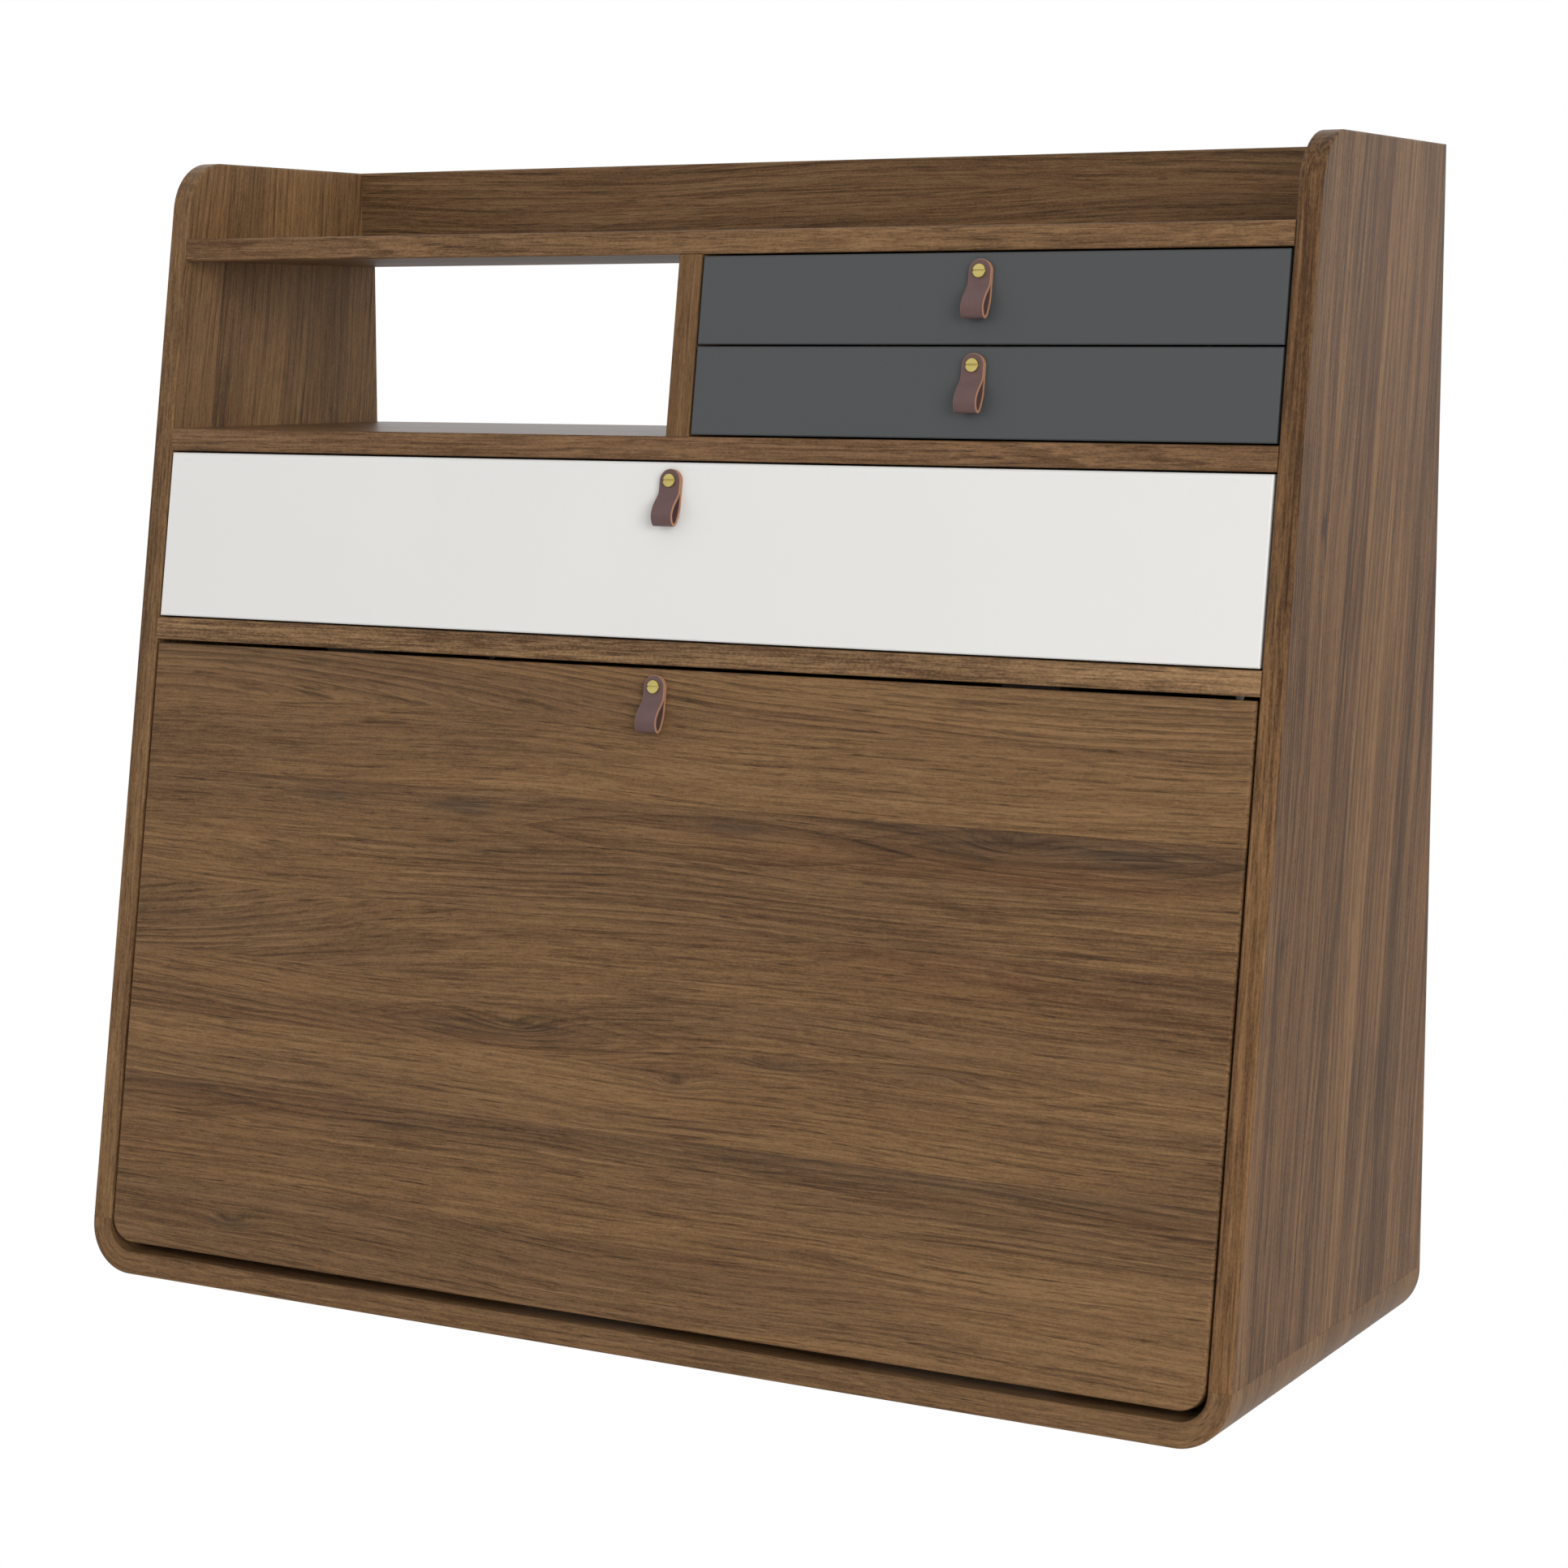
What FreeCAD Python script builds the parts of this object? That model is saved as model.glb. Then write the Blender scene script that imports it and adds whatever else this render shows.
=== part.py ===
import FreeCAD, Part
import math
import os
from collections import namedtuple
from types import SimpleNamespace

import Sketcher

# Fold down wall desk, in millimetres. X runs to the right of someone facing the desk, Y runs back to the
# wall and Z runs up. The origin lies on the wall plane, at the centre of the four wall screws. Heights are
# written from the underside of the desk and called rises; every body is lowered by the same datum rise.

SIZES = {
    # carcass
    "width": 1000,
    "height": 900,
    "depth_foot": 392,
    "depth_crown": 249.5,
    "board": 18,
    "bend_radius": 40,
    "joint_rise": 42,
    "crown_round": 45,
    "arris": 1.5,
    "divider_board": 20,
    "back_rail_height": 63,
    "niche_opening": 136,
    "drawer_opening": 135,
    # clearances round a turning pin, round a tongue or screw, at the end of one, and in a groove
    "running_play": 0.05,
    "hole_play": 0.1,
    "end_play": 0.5,
    "groove_play": 0.2,
    "round_margin": 0.1,
    # thin backs, and the grooves that hold them
    "ply": 8,
    "ply_inset": 5,
    "groove_depth": 6,
    # wall rails and their screw holes
    "wall_rail_height": 64,
    "fixing_pitch_across": 700,
    "fixing_radius": 3.5,
    # loose tongues in the joints of the carcass
    "tongue_gauge": 5,
    "tongue_depth": 10,
    "tongue_inset": 30,
    "tongue_setback": 40,
    "rail_tongue_inset": 12,
    # fronts
    "front_board": 18,
    "front_side_gap": 2,
    "front_shelf_gap": 1.5,
    "front_pair_gap": 1.5,
    "edge_arris": 1,
    # flap and its pivots
    "flap_board": 18,
    "flap_foot_gap": 7.8,
    "flap_head_gap": 2.2,
    "flap_arris": 2.5,
    "pin_radius": 4,
    "pin_depth": 22,
    "bush_radius": 6,
    "bush_depth": 12,
    # desk floor
    "floor_rise": 60,
    "floor_board": 12,
    "floor_swing_gap": 1.6,
    "bearer_width": 40,
    "bearer_length": 290,
    "bearer_inset": 10,
    "bearer_pitch": 350,
    # flap stays
    "stay_wall_gap": 13,
    "stay_closed_angle": 12,
    "stay_side_gap": 4,
    "stay_play": 0.3,
    "bar_radius": 9,
    "bar_gauge": 3,
    "slot_radius": 4.3,
    "slot_margin": 0.5,
    "bar_tip": 5,
    "stud_radius": 4,
    "stud_head_radius": 7,
    "stud_head": 2.5,
    "stud_depth": 10,
    "rivet_radius": 3,
    "rivet_head_radius": 5,
    "rivet_head": 1.7,
    "bracket_standoff": 15,
    "bracket_gauge": 3,
    "bracket_ear_radius": 8,
    "bracket_length": 44,
    "bracket_width": 22,
    # flap catches
    "catch_spread": 600,
    "catch_width": 46,
    "catch_height": 20,
    "catch_depth": 15,
    "catch_gap": 0.3,
    "strike_width": 40,
    "strike_height": 12,
    "strike_gauge": 1.5,
    "strike_drop": 3,
    # drawer boxes
    "drawer_wall": 12,
    "drawer_base": 5,
    "drawer_base_rise": 6,
    "drawer_groove": 5,
    "box_lift": 6,
    "small_box_height": 50,
    "wide_box_height": 110,
    "box_back_gap": 18,
    # runners, in three nested channels
    "runner_space": 12.7,
    "runner_height": 27,
    "runner_gauge": 1.2,
    "runner_play": 0.4,
    "runner_setback": 2,
    "small_runner_length": 200,
    "wide_runner_length": 250,
    # leather pulls
    "strap_width": 18,
    "strap_gauge": 2.2,
    "strap_length": 44,
    "strap_fold": 19.5,
    "belly_depth": 13.6,
    "belly_drop": 33,
    "nose_front": 12.2,
    "nose_back": 5.5,
    "fold_round": 10,
    "belly_round": 8,
    "nose_round": 3.2,
    "heel_round": 12,
    "pull_screw_drop": 14,
    "pull_screw_radius": 2,
    "pull_screw_depth": 14,
    "pull_screw_head_radius": 5,
    "pull_screw_head": 2,
    "pull_screw_slot": 1.2,
    "pull_screw_slot_depth": 1,
}

BEARERS = 3
NODE_FOLDER = "parts"
SAME_PLACE = 1e-4
SMALLEST_CUT = 1.0


class Size:
    """A length or angle that keeps its sheet formula beside its present value."""

    def __init__(self, text, value):
        self.text = text
        self.value = float(value)

    def __add__(self, other):
        other = as_size(other)
        return Size("(%s + %s)" % (self.text, other.text), self.value + other.value)

    def __sub__(self, other):
        other = as_size(other)
        return Size("(%s - %s)" % (self.text, other.text), self.value - other.value)

    def __mul__(self, other):
        other = as_size(other)
        return Size("(%s * %s)" % (self.text, other.text), self.value * other.value)

    def __truediv__(self, other):
        other = as_size(other)
        return Size("(%s / %s)" % (self.text, other.text), self.value / other.value)

    def __neg__(self):
        return Size("(0 - %s)" % self.text, -self.value)


def as_size(number):
    """Gives a Size for a Size or a plain number."""
    if isinstance(number, Size):
        return number
    return Size("(%s)" % number, number)


def root(size):
    """The square root of a size."""
    return Size("sqrt(%s)" % size.text, math.sqrt(size.value))


def sine(angle):
    """The sine of an angle in degrees."""
    return Size("sin(%s)" % angle.text, math.sin(math.radians(angle.value)))


def cosine(angle):
    """The cosine of an angle in degrees."""
    return Size("cos(%s)" % angle.text, math.cos(math.radians(angle.value)))


doc = FreeCAD.newDocument("fold_down_wall_desk")
sheet = doc.addObject("Spreadsheet::Sheet", "Sizes")
for row, (name, number) in enumerate(SIZES.items(), 1):
    sheet.set("A%d" % row, name)
    sheet.set("B%d" % row, str(number))
    sheet.setAlias("B%d" % row, name)
doc.recompute()
S = SimpleNamespace(**{name: Size("Sizes." + name, number) for name, number in SIZES.items()})
ZERO = as_size(0)

# Places worked out from the sizes. The shelves hang down from the top, and the flap takes what is left.
slope = (S.depth_foot - S.depth_crown) / S.height
lean_factor = root(slope * slope + 1)
lean_cosine = as_size(1) / lean_factor
lean_sine = slope / lean_factor
lean = math.degrees(math.atan(slope.value))
inner_half = S.width / 2 - S.board
top_shelf_top = S.height - S.back_rail_height
top_shelf_rise = top_shelf_top - S.board
middle_shelf_top = top_shelf_rise - S.niche_opening
middle_shelf_rise = middle_shelf_top - S.board
lower_shelf_top = middle_shelf_rise - S.drawer_opening
lower_shelf_rise = lower_shelf_top - S.board
front_depth = S.front_board * lean_factor
half_flap = S.flap_board / 2


def front(rise):
    """The Y of the leaning front face at a height."""
    return slope * rise - S.depth_foot


# The flap turns about an axis that brings its inner face level with the desk floor when it is open.
hinge_rise = S.floor_rise - half_flap
hinge_y = front(hinge_rise) + half_flap * lean_factor
flap_half_width = inner_half - S.front_side_gap
flap_foot_rise = S.board + S.flap_foot_gap
flap_head_rise = lower_shelf_rise - S.flap_head_gap
pivot_up = (hinge_rise - flap_foot_rise) * lean_factor + half_flap * slope


def up_the_flap(rise):
    """How far above the pivot, along the flap, its front face reaches a height."""
    return (rise - flap_foot_rise) * lean_factor - pivot_up


flap_top = up_the_flap(flap_head_rise)
tail_sweep = root(pivot_up * pivot_up + half_flap * half_flap)
floor_foot = S.floor_rise - S.floor_board
floor_front = hinge_y + tail_sweep + S.floor_swing_gap
upper_rail_foot = lower_shelf_rise - S.wall_rail_height
lower_rail_top = S.floor_rise + S.wall_rail_height
upper_fixing_rise = lower_shelf_rise - S.wall_rail_height / 2
lower_fixing_rise = S.floor_rise + S.wall_rail_height / 2
datum_rise = (upper_fixing_rise + lower_fixing_rise) / 2

# The stay's bar hangs on a rivet in the flap and slides on a stud in the side panel. Rivet and stud lie
# at one reach from the flap's pivot, so the bar turns half as far as the flap, and the reach is as long
# as leaves the closed bar's tail clear of the wall rails.
half_closed = S.stay_closed_angle / 2
bar_cosine = cosine(half_closed) * lean_cosine - sine(half_closed) * lean_sine
bar_sine = sine(half_closed) * lean_cosine + cosine(half_closed) * lean_sine
half_open = (S.stay_closed_angle + 90) / 2
half_lean_cosine = root((lean_cosine + 1) / 2)
half_lean_sine = root((-lean_cosine + 1) / 2)
open_chord = (sine(half_open) * half_lean_cosine + cosine(half_open) * half_lean_sine) * 2
bar_end = S.slot_margin + S.slot_radius + S.bar_tip
rivet_out = half_flap + S.bracket_standoff
tail_room = -hinge_y - S.board - S.stay_wall_gap - bar_end
rivet_up = tail_room - rivet_out * (lean_cosine - open_chord * bar_sine)
rivet_up = rivet_up / (lean_sine + open_chord * bar_cosine)
stay_reach = root(rivet_up * rivet_up + rivet_out * rivet_out)
rivet_angle = 90 + lean + math.degrees(math.atan2(rivet_out.value, rivet_up.value))
stud_angle = rivet_angle + S.stay_closed_angle.value
bar_tilt = -((rivet_angle + stud_angle) / 2 - 90)
slot_near = stay_reach * 2 * sine(half_closed) - S.slot_margin
slot_far = stay_reach * open_chord + S.slot_margin
bar_outer = inner_half - S.stay_side_gap
bar_inner = bar_outer - S.bar_gauge
ear_outer = bar_inner - S.stay_play
ear_inner = ear_outer - S.bracket_gauge


def new_body(label, x=ZERO, y=ZERO, rise=ZERO, tilt=0.0):
    """Starts a body whose own origin stands at the given place, tilted about X by tilt degrees."""
    body = doc.addObject("PartDesign::Body", label)
    body.Label = label
    body.Placement = FreeCAD.Placement(FreeCAD.Vector(), FreeCAD.Rotation(FreeCAD.Vector(1, 0, 0), tilt))
    for axis, place in (("x", x), ("y", y), ("z", rise - datum_rise)):
        body.setExpression("Placement.Base." + axis, place.text)
    return body


def origin_plane(body, role):
    """Finds one of the body's own origin planes."""
    return next(item for item in body.Origin.OriginFeatures if item.Role == role)


def new_sketch(body, role, offset=ZERO):
    """Adds a sketch on one of the body's origin planes, moved along that plane's normal."""
    sketch = body.newObject("Sketcher::SketchObject", "Sketch")
    sketch.AttachmentSupport = (origin_plane(body, role), "")
    sketch.MapMode = "FlatFace"
    sketch.setExpression("AttachmentOffset.Base.z", as_size(offset).text)
    return sketch


def bind_point(sketch, item, point, across, up):
    """Holds a sketch point at its distances from the sketch's origin."""
    for kind, size in (("DistanceX", across), ("DistanceY", up)):
        index = sketch.addConstraint(Sketcher.Constraint(kind, -1, 1, item, point, size.value))
        sketch.setExpression("Constraints[%d]" % index, size.text)


def bind_radius(sketch, item, radius):
    """Holds the radius of a circle or an arc."""
    index = sketch.addConstraint(Sketcher.Constraint("Radius", item, radius.value))
    sketch.setExpression("Constraints[%d]" % index, radius.text)


def add_polygon(sketch, corners):
    """Draws a closed outline of straight lines through the corners."""
    corners = [(as_size(across), as_size(up)) for across, up in corners]
    points = [FreeCAD.Vector(across.value, up.value, 0) for across, up in corners]
    first = sketch.GeometryCount
    count = len(points)
    for index in range(count):
        sketch.addGeometry(Part.LineSegment(points[index], points[(index + 1) % count]), False)
    for index in range(count):
        follower = first + (index + 1) % count
        sketch.addConstraint(Sketcher.Constraint("Coincident", first + index, 2, follower, 1))
    for index, (across, up) in enumerate(corners):
        bind_point(sketch, first + index, 1, across, up)


def add_rectangle(sketch, left, right, foot, head):
    """Draws a rectangle between two distances across and two up."""
    add_polygon(sketch, [(left, foot), (right, foot), (right, head), (left, head)])


def add_circle(sketch, across, up, radius):
    """Draws a circle."""
    across = as_size(across)
    up = as_size(up)
    centre = FreeCAD.Vector(across.value, up.value, 0)
    item = sketch.addGeometry(Part.Circle(centre, FreeCAD.Vector(0, 0, 1), radius.value), False)
    bind_point(sketch, item, 3, across, up)
    bind_radius(sketch, item, radius)


def add_stadium(sketch, near, far, radius):
    """Draws a slot shape along the sketch's first axis, its round ends centred at near and far."""
    near = as_size(near)
    far = as_size(far)
    flat = FreeCAD.Vector(0, 0, 1)
    ends = [FreeCAD.Vector(place.value, 0, 0) for place in (near, far)]
    arcs = []
    for centre, start in zip(ends, (math.pi / 2, -math.pi / 2)):
        ring = Part.Circle(centre, flat, radius.value)
        arcs.append(sketch.addGeometry(Part.ArcOfCircle(ring, start, start + math.pi), False))
    lines = []
    for a, b, side in ((0, 1, 1), (1, 0, -1)):
        step = FreeCAD.Vector(0, side * radius.value, 0)
        lines.append(sketch.addGeometry(Part.LineSegment(ends[a] + step, ends[b] + step), False))
    for arc, line in ((0, 0), (1, 1)):
        sketch.addConstraint(Sketcher.Constraint("Tangent", arcs[arc], 1, lines[line], 1))
        sketch.addConstraint(Sketcher.Constraint("Tangent", lines[line], 2, arcs[1 - arc], 2))
    bind_point(sketch, arcs[0], 3, near, ZERO)
    bind_point(sketch, arcs[1], 3, far, ZERO)
    bind_radius(sketch, arcs[0], radius)
    sketch.addConstraint(Sketcher.Constraint("Equal", arcs[0], arcs[1]))


def set_depth(feature, sketch, depth, centred, backwards):
    """Gives a pad or a pocket its sketch, depth and direction."""
    feature.Profile = sketch
    feature.setExpression("Length", depth.text)
    if centred:
        feature.SideType = "Symmetric"
    feature.Reversed = backwards


def add_pad(body, sketch, depth, centred=False, backwards=False):
    """Pads a sketch along its normal, both ways from it, or backwards."""
    pad = body.newObject("PartDesign::Pad", "Pad")
    set_depth(pad, sketch, depth, centred, backwards)
    body.Tip = pad
    doc.recompute()
    return pad


def add_pocket(body, sketch, depth, centred=False, backwards=False):
    """Cuts a sketch against its normal, both ways from it, or along it when backwards."""
    before = body.Tip.Shape.Volume
    pocket = body.newObject("PartDesign::Pocket", "Pocket")
    set_depth(pocket, sketch, depth, centred, backwards)
    body.Tip = pocket
    doc.recompute()
    if pocket.Shape.Volume > before - SMALLEST_CUT:
        raise RuntimeError("a pocket in %s cuts nothing" % body.Label)
    return pocket


def add_mirror(body, *features):
    """Repeats features on the other side of the body's YZ plane."""
    mirror = body.newObject("PartDesign::Mirrored", "Mirrored")
    mirror.Originals = list(features)
    mirror.MirrorPlane = (origin_plane(body, "YZ_Plane"), "")
    body.Tip = mirror
    doc.recompute()
    return mirror


def ease_edges(body, kind, setting, size, chosen):
    """Adds a fillet or a chamfer on the edges of the body that chosen picks."""
    base = body.Tip
    names = ["Edge%d" % index for index, edge in enumerate(base.Shape.Edges, 1) if chosen(edge)]
    if not names:
        raise RuntimeError("no edge to ease on %s" % body.Label)
    eased = body.newObject("PartDesign::" + kind, kind)
    eased.Base = (base, names)
    eased.setExpression(setting, size.text)
    body.Tip = eased
    doc.recompute()
    return eased


def add_fillet(body, radius, chosen):
    """Rounds the edges of the body that chosen picks."""
    return ease_edges(body, "Fillet", "Radius", radius, chosen)


def add_chamfer(body, size, chosen):
    """Bevels the edges of the body that chosen picks."""
    return ease_edges(body, "Chamfer", "Size", size, chosen)


def add_turned(body, profile, axis="H_Axis"):
    """Turns an outline about the first or second axis of the XY plane."""
    sketch = new_sketch(body, "XY_Plane")
    add_polygon(sketch, profile)
    turned = body.newObject("PartDesign::Revolution", "Revolution")
    turned.Profile = sketch
    turned.ReferenceAxis = (sketch, [axis])
    turned.Angle = 360
    body.Tip = turned
    doc.recompute()
    return turned


def middle(edge):
    """The point halfway along an edge."""
    return edge.valueAt((edge.FirstParameter + edge.LastParameter) / 2)


def runs_along(edge, axis):
    """Whether an edge is straight and parallel to a direction."""
    run = edge.Vertexes[-1].Point - edge.Vertexes[0].Point
    return run.Length > SAME_PLACE and run.cross(axis).Length < SAME_PLACE * run.Length


ALONG_X = FreeCAD.Vector(1, 0, 0)
ALONG_Y = FreeCAD.Vector(0, 1, 0)


def near(value, size):
    """Whether a measured value is at a size."""
    return abs(value - size.value) < SAME_PLACE * 100


def at_yz(edge, y, z):
    """Whether an edge along X passes through a point of the YZ plane."""
    point = middle(edge)
    return runs_along(edge, ALONG_X) and near(point.y, y) and near(point.z, z)


def on_front(edge):
    """Whether a whole edge lies in the leaning front face."""
    points = [vertex.Point for vertex in edge.Vertexes] + [middle(edge)]
    return all(near(point.y, front(as_size(point.z))) for point in points)


def shelf_tongue(foot):
    """The tongue at the end of a shelf: its Y and height ranges."""
    centre = foot + S.board / 2
    half = S.tongue_gauge / 2
    return (front(foot) + S.tongue_setback, -S.tongue_inset, centre - half, centre + half)


def rail_tongue(foot, height):
    """The tongue at the end of a rail: its Y and height ranges."""
    half = S.tongue_gauge / 2
    centre = -S.board / 2
    return (centre - half, centre + half, foot + S.rail_tongue_inset, foot + height - S.rail_tongue_inset)


def side_tongues():
    """Every tongue between a side panel and what it carries."""
    return [
        shelf_tongue(lower_shelf_rise),
        shelf_tongue(middle_shelf_rise),
        shelf_tongue(top_shelf_rise),
        rail_tongue(S.floor_rise, S.wall_rail_height),
        rail_tongue(upper_rail_foot, S.wall_rail_height),
        rail_tongue(top_shelf_top, S.back_rail_height),
    ]


def upright_tongue(centre, rise):
    """A tongue in a joint between boards that meet end on: its X and Y ranges."""
    half = S.tongue_gauge / 2
    return (centre - half, centre + half, front(rise) + S.tongue_setback, -S.tongue_inset)


def add_slots(body, role, offset, tongues, backwards=False):
    """Cuts the slots that hold one half of each tongue."""
    sketch = new_sketch(body, role, offset)
    for left, right, foot, head in tongues:
        add_rectangle(
            sketch,
            left - S.hole_play,
            right + S.hole_play,
            foot - S.hole_play,
            head + S.hole_play,
        )
    return add_pocket(body, sketch, S.tongue_depth + S.end_play, backwards=backwards)


def add_holes(body, role, offset, places, radius, depth, backwards=False):
    """Cuts a set of equal round holes from one plane."""
    sketch = new_sketch(body, role, offset)
    for across, up in places:
        add_circle(sketch, across, up, radius)
    return add_pocket(body, sketch, depth, backwards=backwards)


def add_ply_grooves(body, face, spans, outwards):
    """Cuts the upright grooves that hold the thin backs."""
    sketch = new_sketch(body, "YZ_Plane", face)
    back = -(S.ply_inset - S.groove_play)
    ahead = -(S.ply_inset + S.ply + S.groove_play)
    for foot, head in spans:
        add_rectangle(sketch, ahead, back, foot, head)
    add_pocket(body, sketch, S.groove_depth + S.groove_play, backwards=outwards)


def side_panel(label, side):
    """A tapered side panel with a rounded top corner; side is 1 for the right and -1 for the left."""
    body = new_body(label)
    face = inner_half * side
    sketch = new_sketch(body, "YZ_Plane", face)
    head_y = front(S.height)
    add_polygon(
        sketch,
        [(ZERO, S.joint_rise), (front(S.joint_rise), S.joint_rise), (head_y, S.height), (ZERO, S.height)],
    )
    outwards = side > 0
    add_pad(body, sketch, S.board, backwards=not outwards)
    add_fillet(body, S.crown_round, lambda edge: at_yz(edge, head_y, S.height))

    def is_arris(edge):
        point = middle(edge)
        inside = not near(point.y, ZERO) and not near(point.z, S.joint_rise)
        return inside and not runs_along(edge, ALONG_X)

    add_chamfer(body, S.arris, is_arris)
    spans = [(lower_rail_top, upper_rail_foot), (lower_shelf_top, middle_shelf_rise)]
    if outwards:
        spans.append((middle_shelf_top, top_shelf_rise))
    add_ply_grooves(body, face, spans, outwards)
    add_slots(body, "YZ_Plane", face, side_tongues(), outwards)
    centre = face + S.board / 2 * side
    add_slots(body, "XY_Plane", S.joint_rise, [upright_tongue(centre, S.joint_rise)], True)
    pivot = [(hinge_y, hinge_rise)]
    add_holes(body, "YZ_Plane", face, pivot, S.bush_radius + S.running_play, S.bush_depth, outwards)
    stud = [tuple(at_reach(stud_angle).values())]
    depth = S.stud_depth + S.end_play
    add_holes(body, "YZ_Plane", face, stud, S.stud_radius + S.running_play, depth, outwards)


def at_reach(angle):
    """The place at the stay's reach from the flap's pivot, at an angle counted up from straight ahead."""
    turn = math.radians(angle)
    return {"y": hinge_y - stay_reach * math.cos(turn), "rise": hinge_rise + stay_reach * math.sin(turn)}


def bottom_panel():
    """The bottom panel, bent up at both ends to meet the side panels."""
    body = new_body("bottom_panel")
    sketch = new_sketch(body, "XZ_Plane")
    half = S.width / 2
    add_polygon(
        sketch,
        [
            (-half, S.joint_rise),
            (-half, ZERO),
            (half, ZERO),
            (half, S.joint_rise),
            (inner_half, S.joint_rise),
            (inner_half, S.board),
            (-inner_half, S.board),
            (-inner_half, S.joint_rise),
        ],
    )
    add_pad(body, sketch, S.depth_foot)

    def bends_at(across, rise):
        def chosen(edge):
            point = middle(edge)
            return runs_along(edge, ALONG_Y) and near(abs(point.x), across) and near(point.z, rise)

        return chosen

    add_fillet(body, S.bend_radius, bends_at(half, ZERO))
    add_fillet(body, S.bend_radius - S.board, bends_at(inner_half, S.board))
    sketch = new_sketch(body, "YZ_Plane")
    above = S.joint_rise + S.board
    ahead = -S.depth_foot - S.board
    add_polygon(sketch, [(front(ZERO), ZERO), (front(above), above), (ahead, above), (ahead, ZERO)])
    add_pocket(body, sketch, S.width + S.board, centred=True)
    add_chamfer(body, S.arris, lambda edge: on_front(edge) and not near(middle(edge).z, S.joint_rise))
    centre = inner_half + S.board / 2
    tongues = [upright_tongue(centre * side, S.joint_rise) for side in (-1, 1)]
    add_slots(body, "XY_Plane", S.joint_rise, tongues)


def shelf(label, foot):
    """A shelf between the side panels, its front edge flush with their lean."""
    body = new_body(label)
    head = foot + S.board
    sketch = new_sketch(body, "YZ_Plane")
    add_polygon(sketch, [(ZERO, foot), (front(foot), foot), (front(head), head), (ZERO, head)])
    add_pad(body, sketch, inner_half * 2, centred=True)
    add_chamfer(body, S.arris, lambda edge: on_front(edge) and runs_along(edge, ALONG_X))
    slots = add_slots(body, "YZ_Plane", inner_half, [shelf_tongue(foot)])
    add_mirror(body, slots)
    return body


def add_divider_seat(body, face, upwards):
    """Slots a shelf for the tongue that holds the divider."""
    add_slots(body, "XY_Plane", face, [upright_tongue(ZERO, face)], upwards)


def divider():
    """The upright between the niche and the small drawers."""
    body = new_body("divider")
    sketch = new_sketch(body, "YZ_Plane")
    foot = middle_shelf_top
    head = top_shelf_rise
    add_polygon(sketch, [(ZERO, foot), (front(foot), foot), (front(head), head), (ZERO, head)])
    add_pad(body, sketch, S.divider_board, centred=True)
    add_chamfer(body, S.arris, lambda edge: on_front(edge) and not runs_along(edge, ALONG_X))
    add_ply_grooves(body, S.divider_board / 2, [(foot, head)], False)
    add_divider_seat(body, foot, True)
    add_divider_seat(body, head, False)


def rail(label, foot, height, fixing_rise=None):
    """A board along the wall between the side panels, drilled for wall screws when it has a fixing rise."""
    body = new_body(label)
    sketch = new_sketch(body, "YZ_Plane")
    add_rectangle(sketch, -S.board, ZERO, foot, foot + height)
    add_pad(body, sketch, inner_half * 2, centred=True)
    if fixing_rise is None:
        add_chamfer(body, S.arris, lambda edge: at_yz(edge, -S.board, foot + height))
    slots = add_slots(body, "YZ_Plane", inner_half, [rail_tongue(foot, height)])
    add_mirror(body, slots)
    if fixing_rise is not None:
        places = [(S.fixing_pitch_across / 2 * side, fixing_rise) for side in (-1, 1)]
        add_holes(body, "XZ_Plane", ZERO, places, S.fixing_radius, S.board, True)


def thin_back(label, left, right, foot, head):
    """A thin back held in the grooves of the boards at its left and right."""
    body = new_body(label)
    sketch = new_sketch(body, "XZ_Plane", S.ply_inset)
    add_rectangle(
        sketch,
        left - S.groove_depth,
        right + S.groove_depth,
        foot + S.groove_play,
        head - S.groove_play,
    )
    add_pad(body, sketch, S.ply)


def desk_floor():
    """The floor of the desk compartment, flush with the open flap."""
    body = new_body("desk_floor")
    sketch = new_sketch(body, "YZ_Plane")
    add_rectangle(sketch, floor_front, ZERO, floor_foot, S.floor_rise)
    add_pad(body, sketch, inner_half * 2, centred=True)
    add_chamfer(body, S.edge_arris, lambda edge: at_yz(edge, floor_front, S.floor_rise))


def floor_bearers():
    """Battens between the bottom panel and the desk floor."""
    body = new_body("floor_bearers", x=S.bearer_pitch * (1 - BEARERS) / 2)
    sketch = new_sketch(body, "XZ_Plane", S.bearer_inset)
    add_rectangle(sketch, -S.bearer_width / 2, S.bearer_width / 2, S.board, floor_foot)
    pad = add_pad(body, sketch, S.bearer_length)
    pattern = body.newObject("PartDesign::LinearPattern", "LinearPattern")
    pattern.Originals = [pad]
    pattern.Direction = (sketch, ["H_Axis"])
    pattern.setExpression("Length", (S.bearer_pitch * (BEARERS - 1)).text)
    pattern.Occurrences = BEARERS
    body.Tip = pattern
    doc.recompute()


def add_tongues(body, role, start, tongues):
    """Pads a set of tongues that stand in the slots of two boards."""
    sketch = new_sketch(body, role, start)
    for left, right, foot, head in tongues:
        add_rectangle(sketch, left, right, foot, head)
    return add_pad(body, sketch, S.tongue_depth * 2)


def carcass_tongues():
    """Every tongue of the carcass, as one group of separate solids."""
    body = new_body("carcass_tongues")
    level = add_tongues(body, "YZ_Plane", inner_half - S.tongue_depth, side_tongues())
    corner = [upright_tongue(inner_half + S.board / 2, S.joint_rise)]
    upright = add_tongues(body, "XY_Plane", S.joint_rise - S.tongue_depth, corner)
    add_mirror(body, level, upright)
    for face in (middle_shelf_top, top_shelf_rise):
        add_tongues(body, "XY_Plane", face - S.tongue_depth, [upright_tongue(ZERO, face)])


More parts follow.
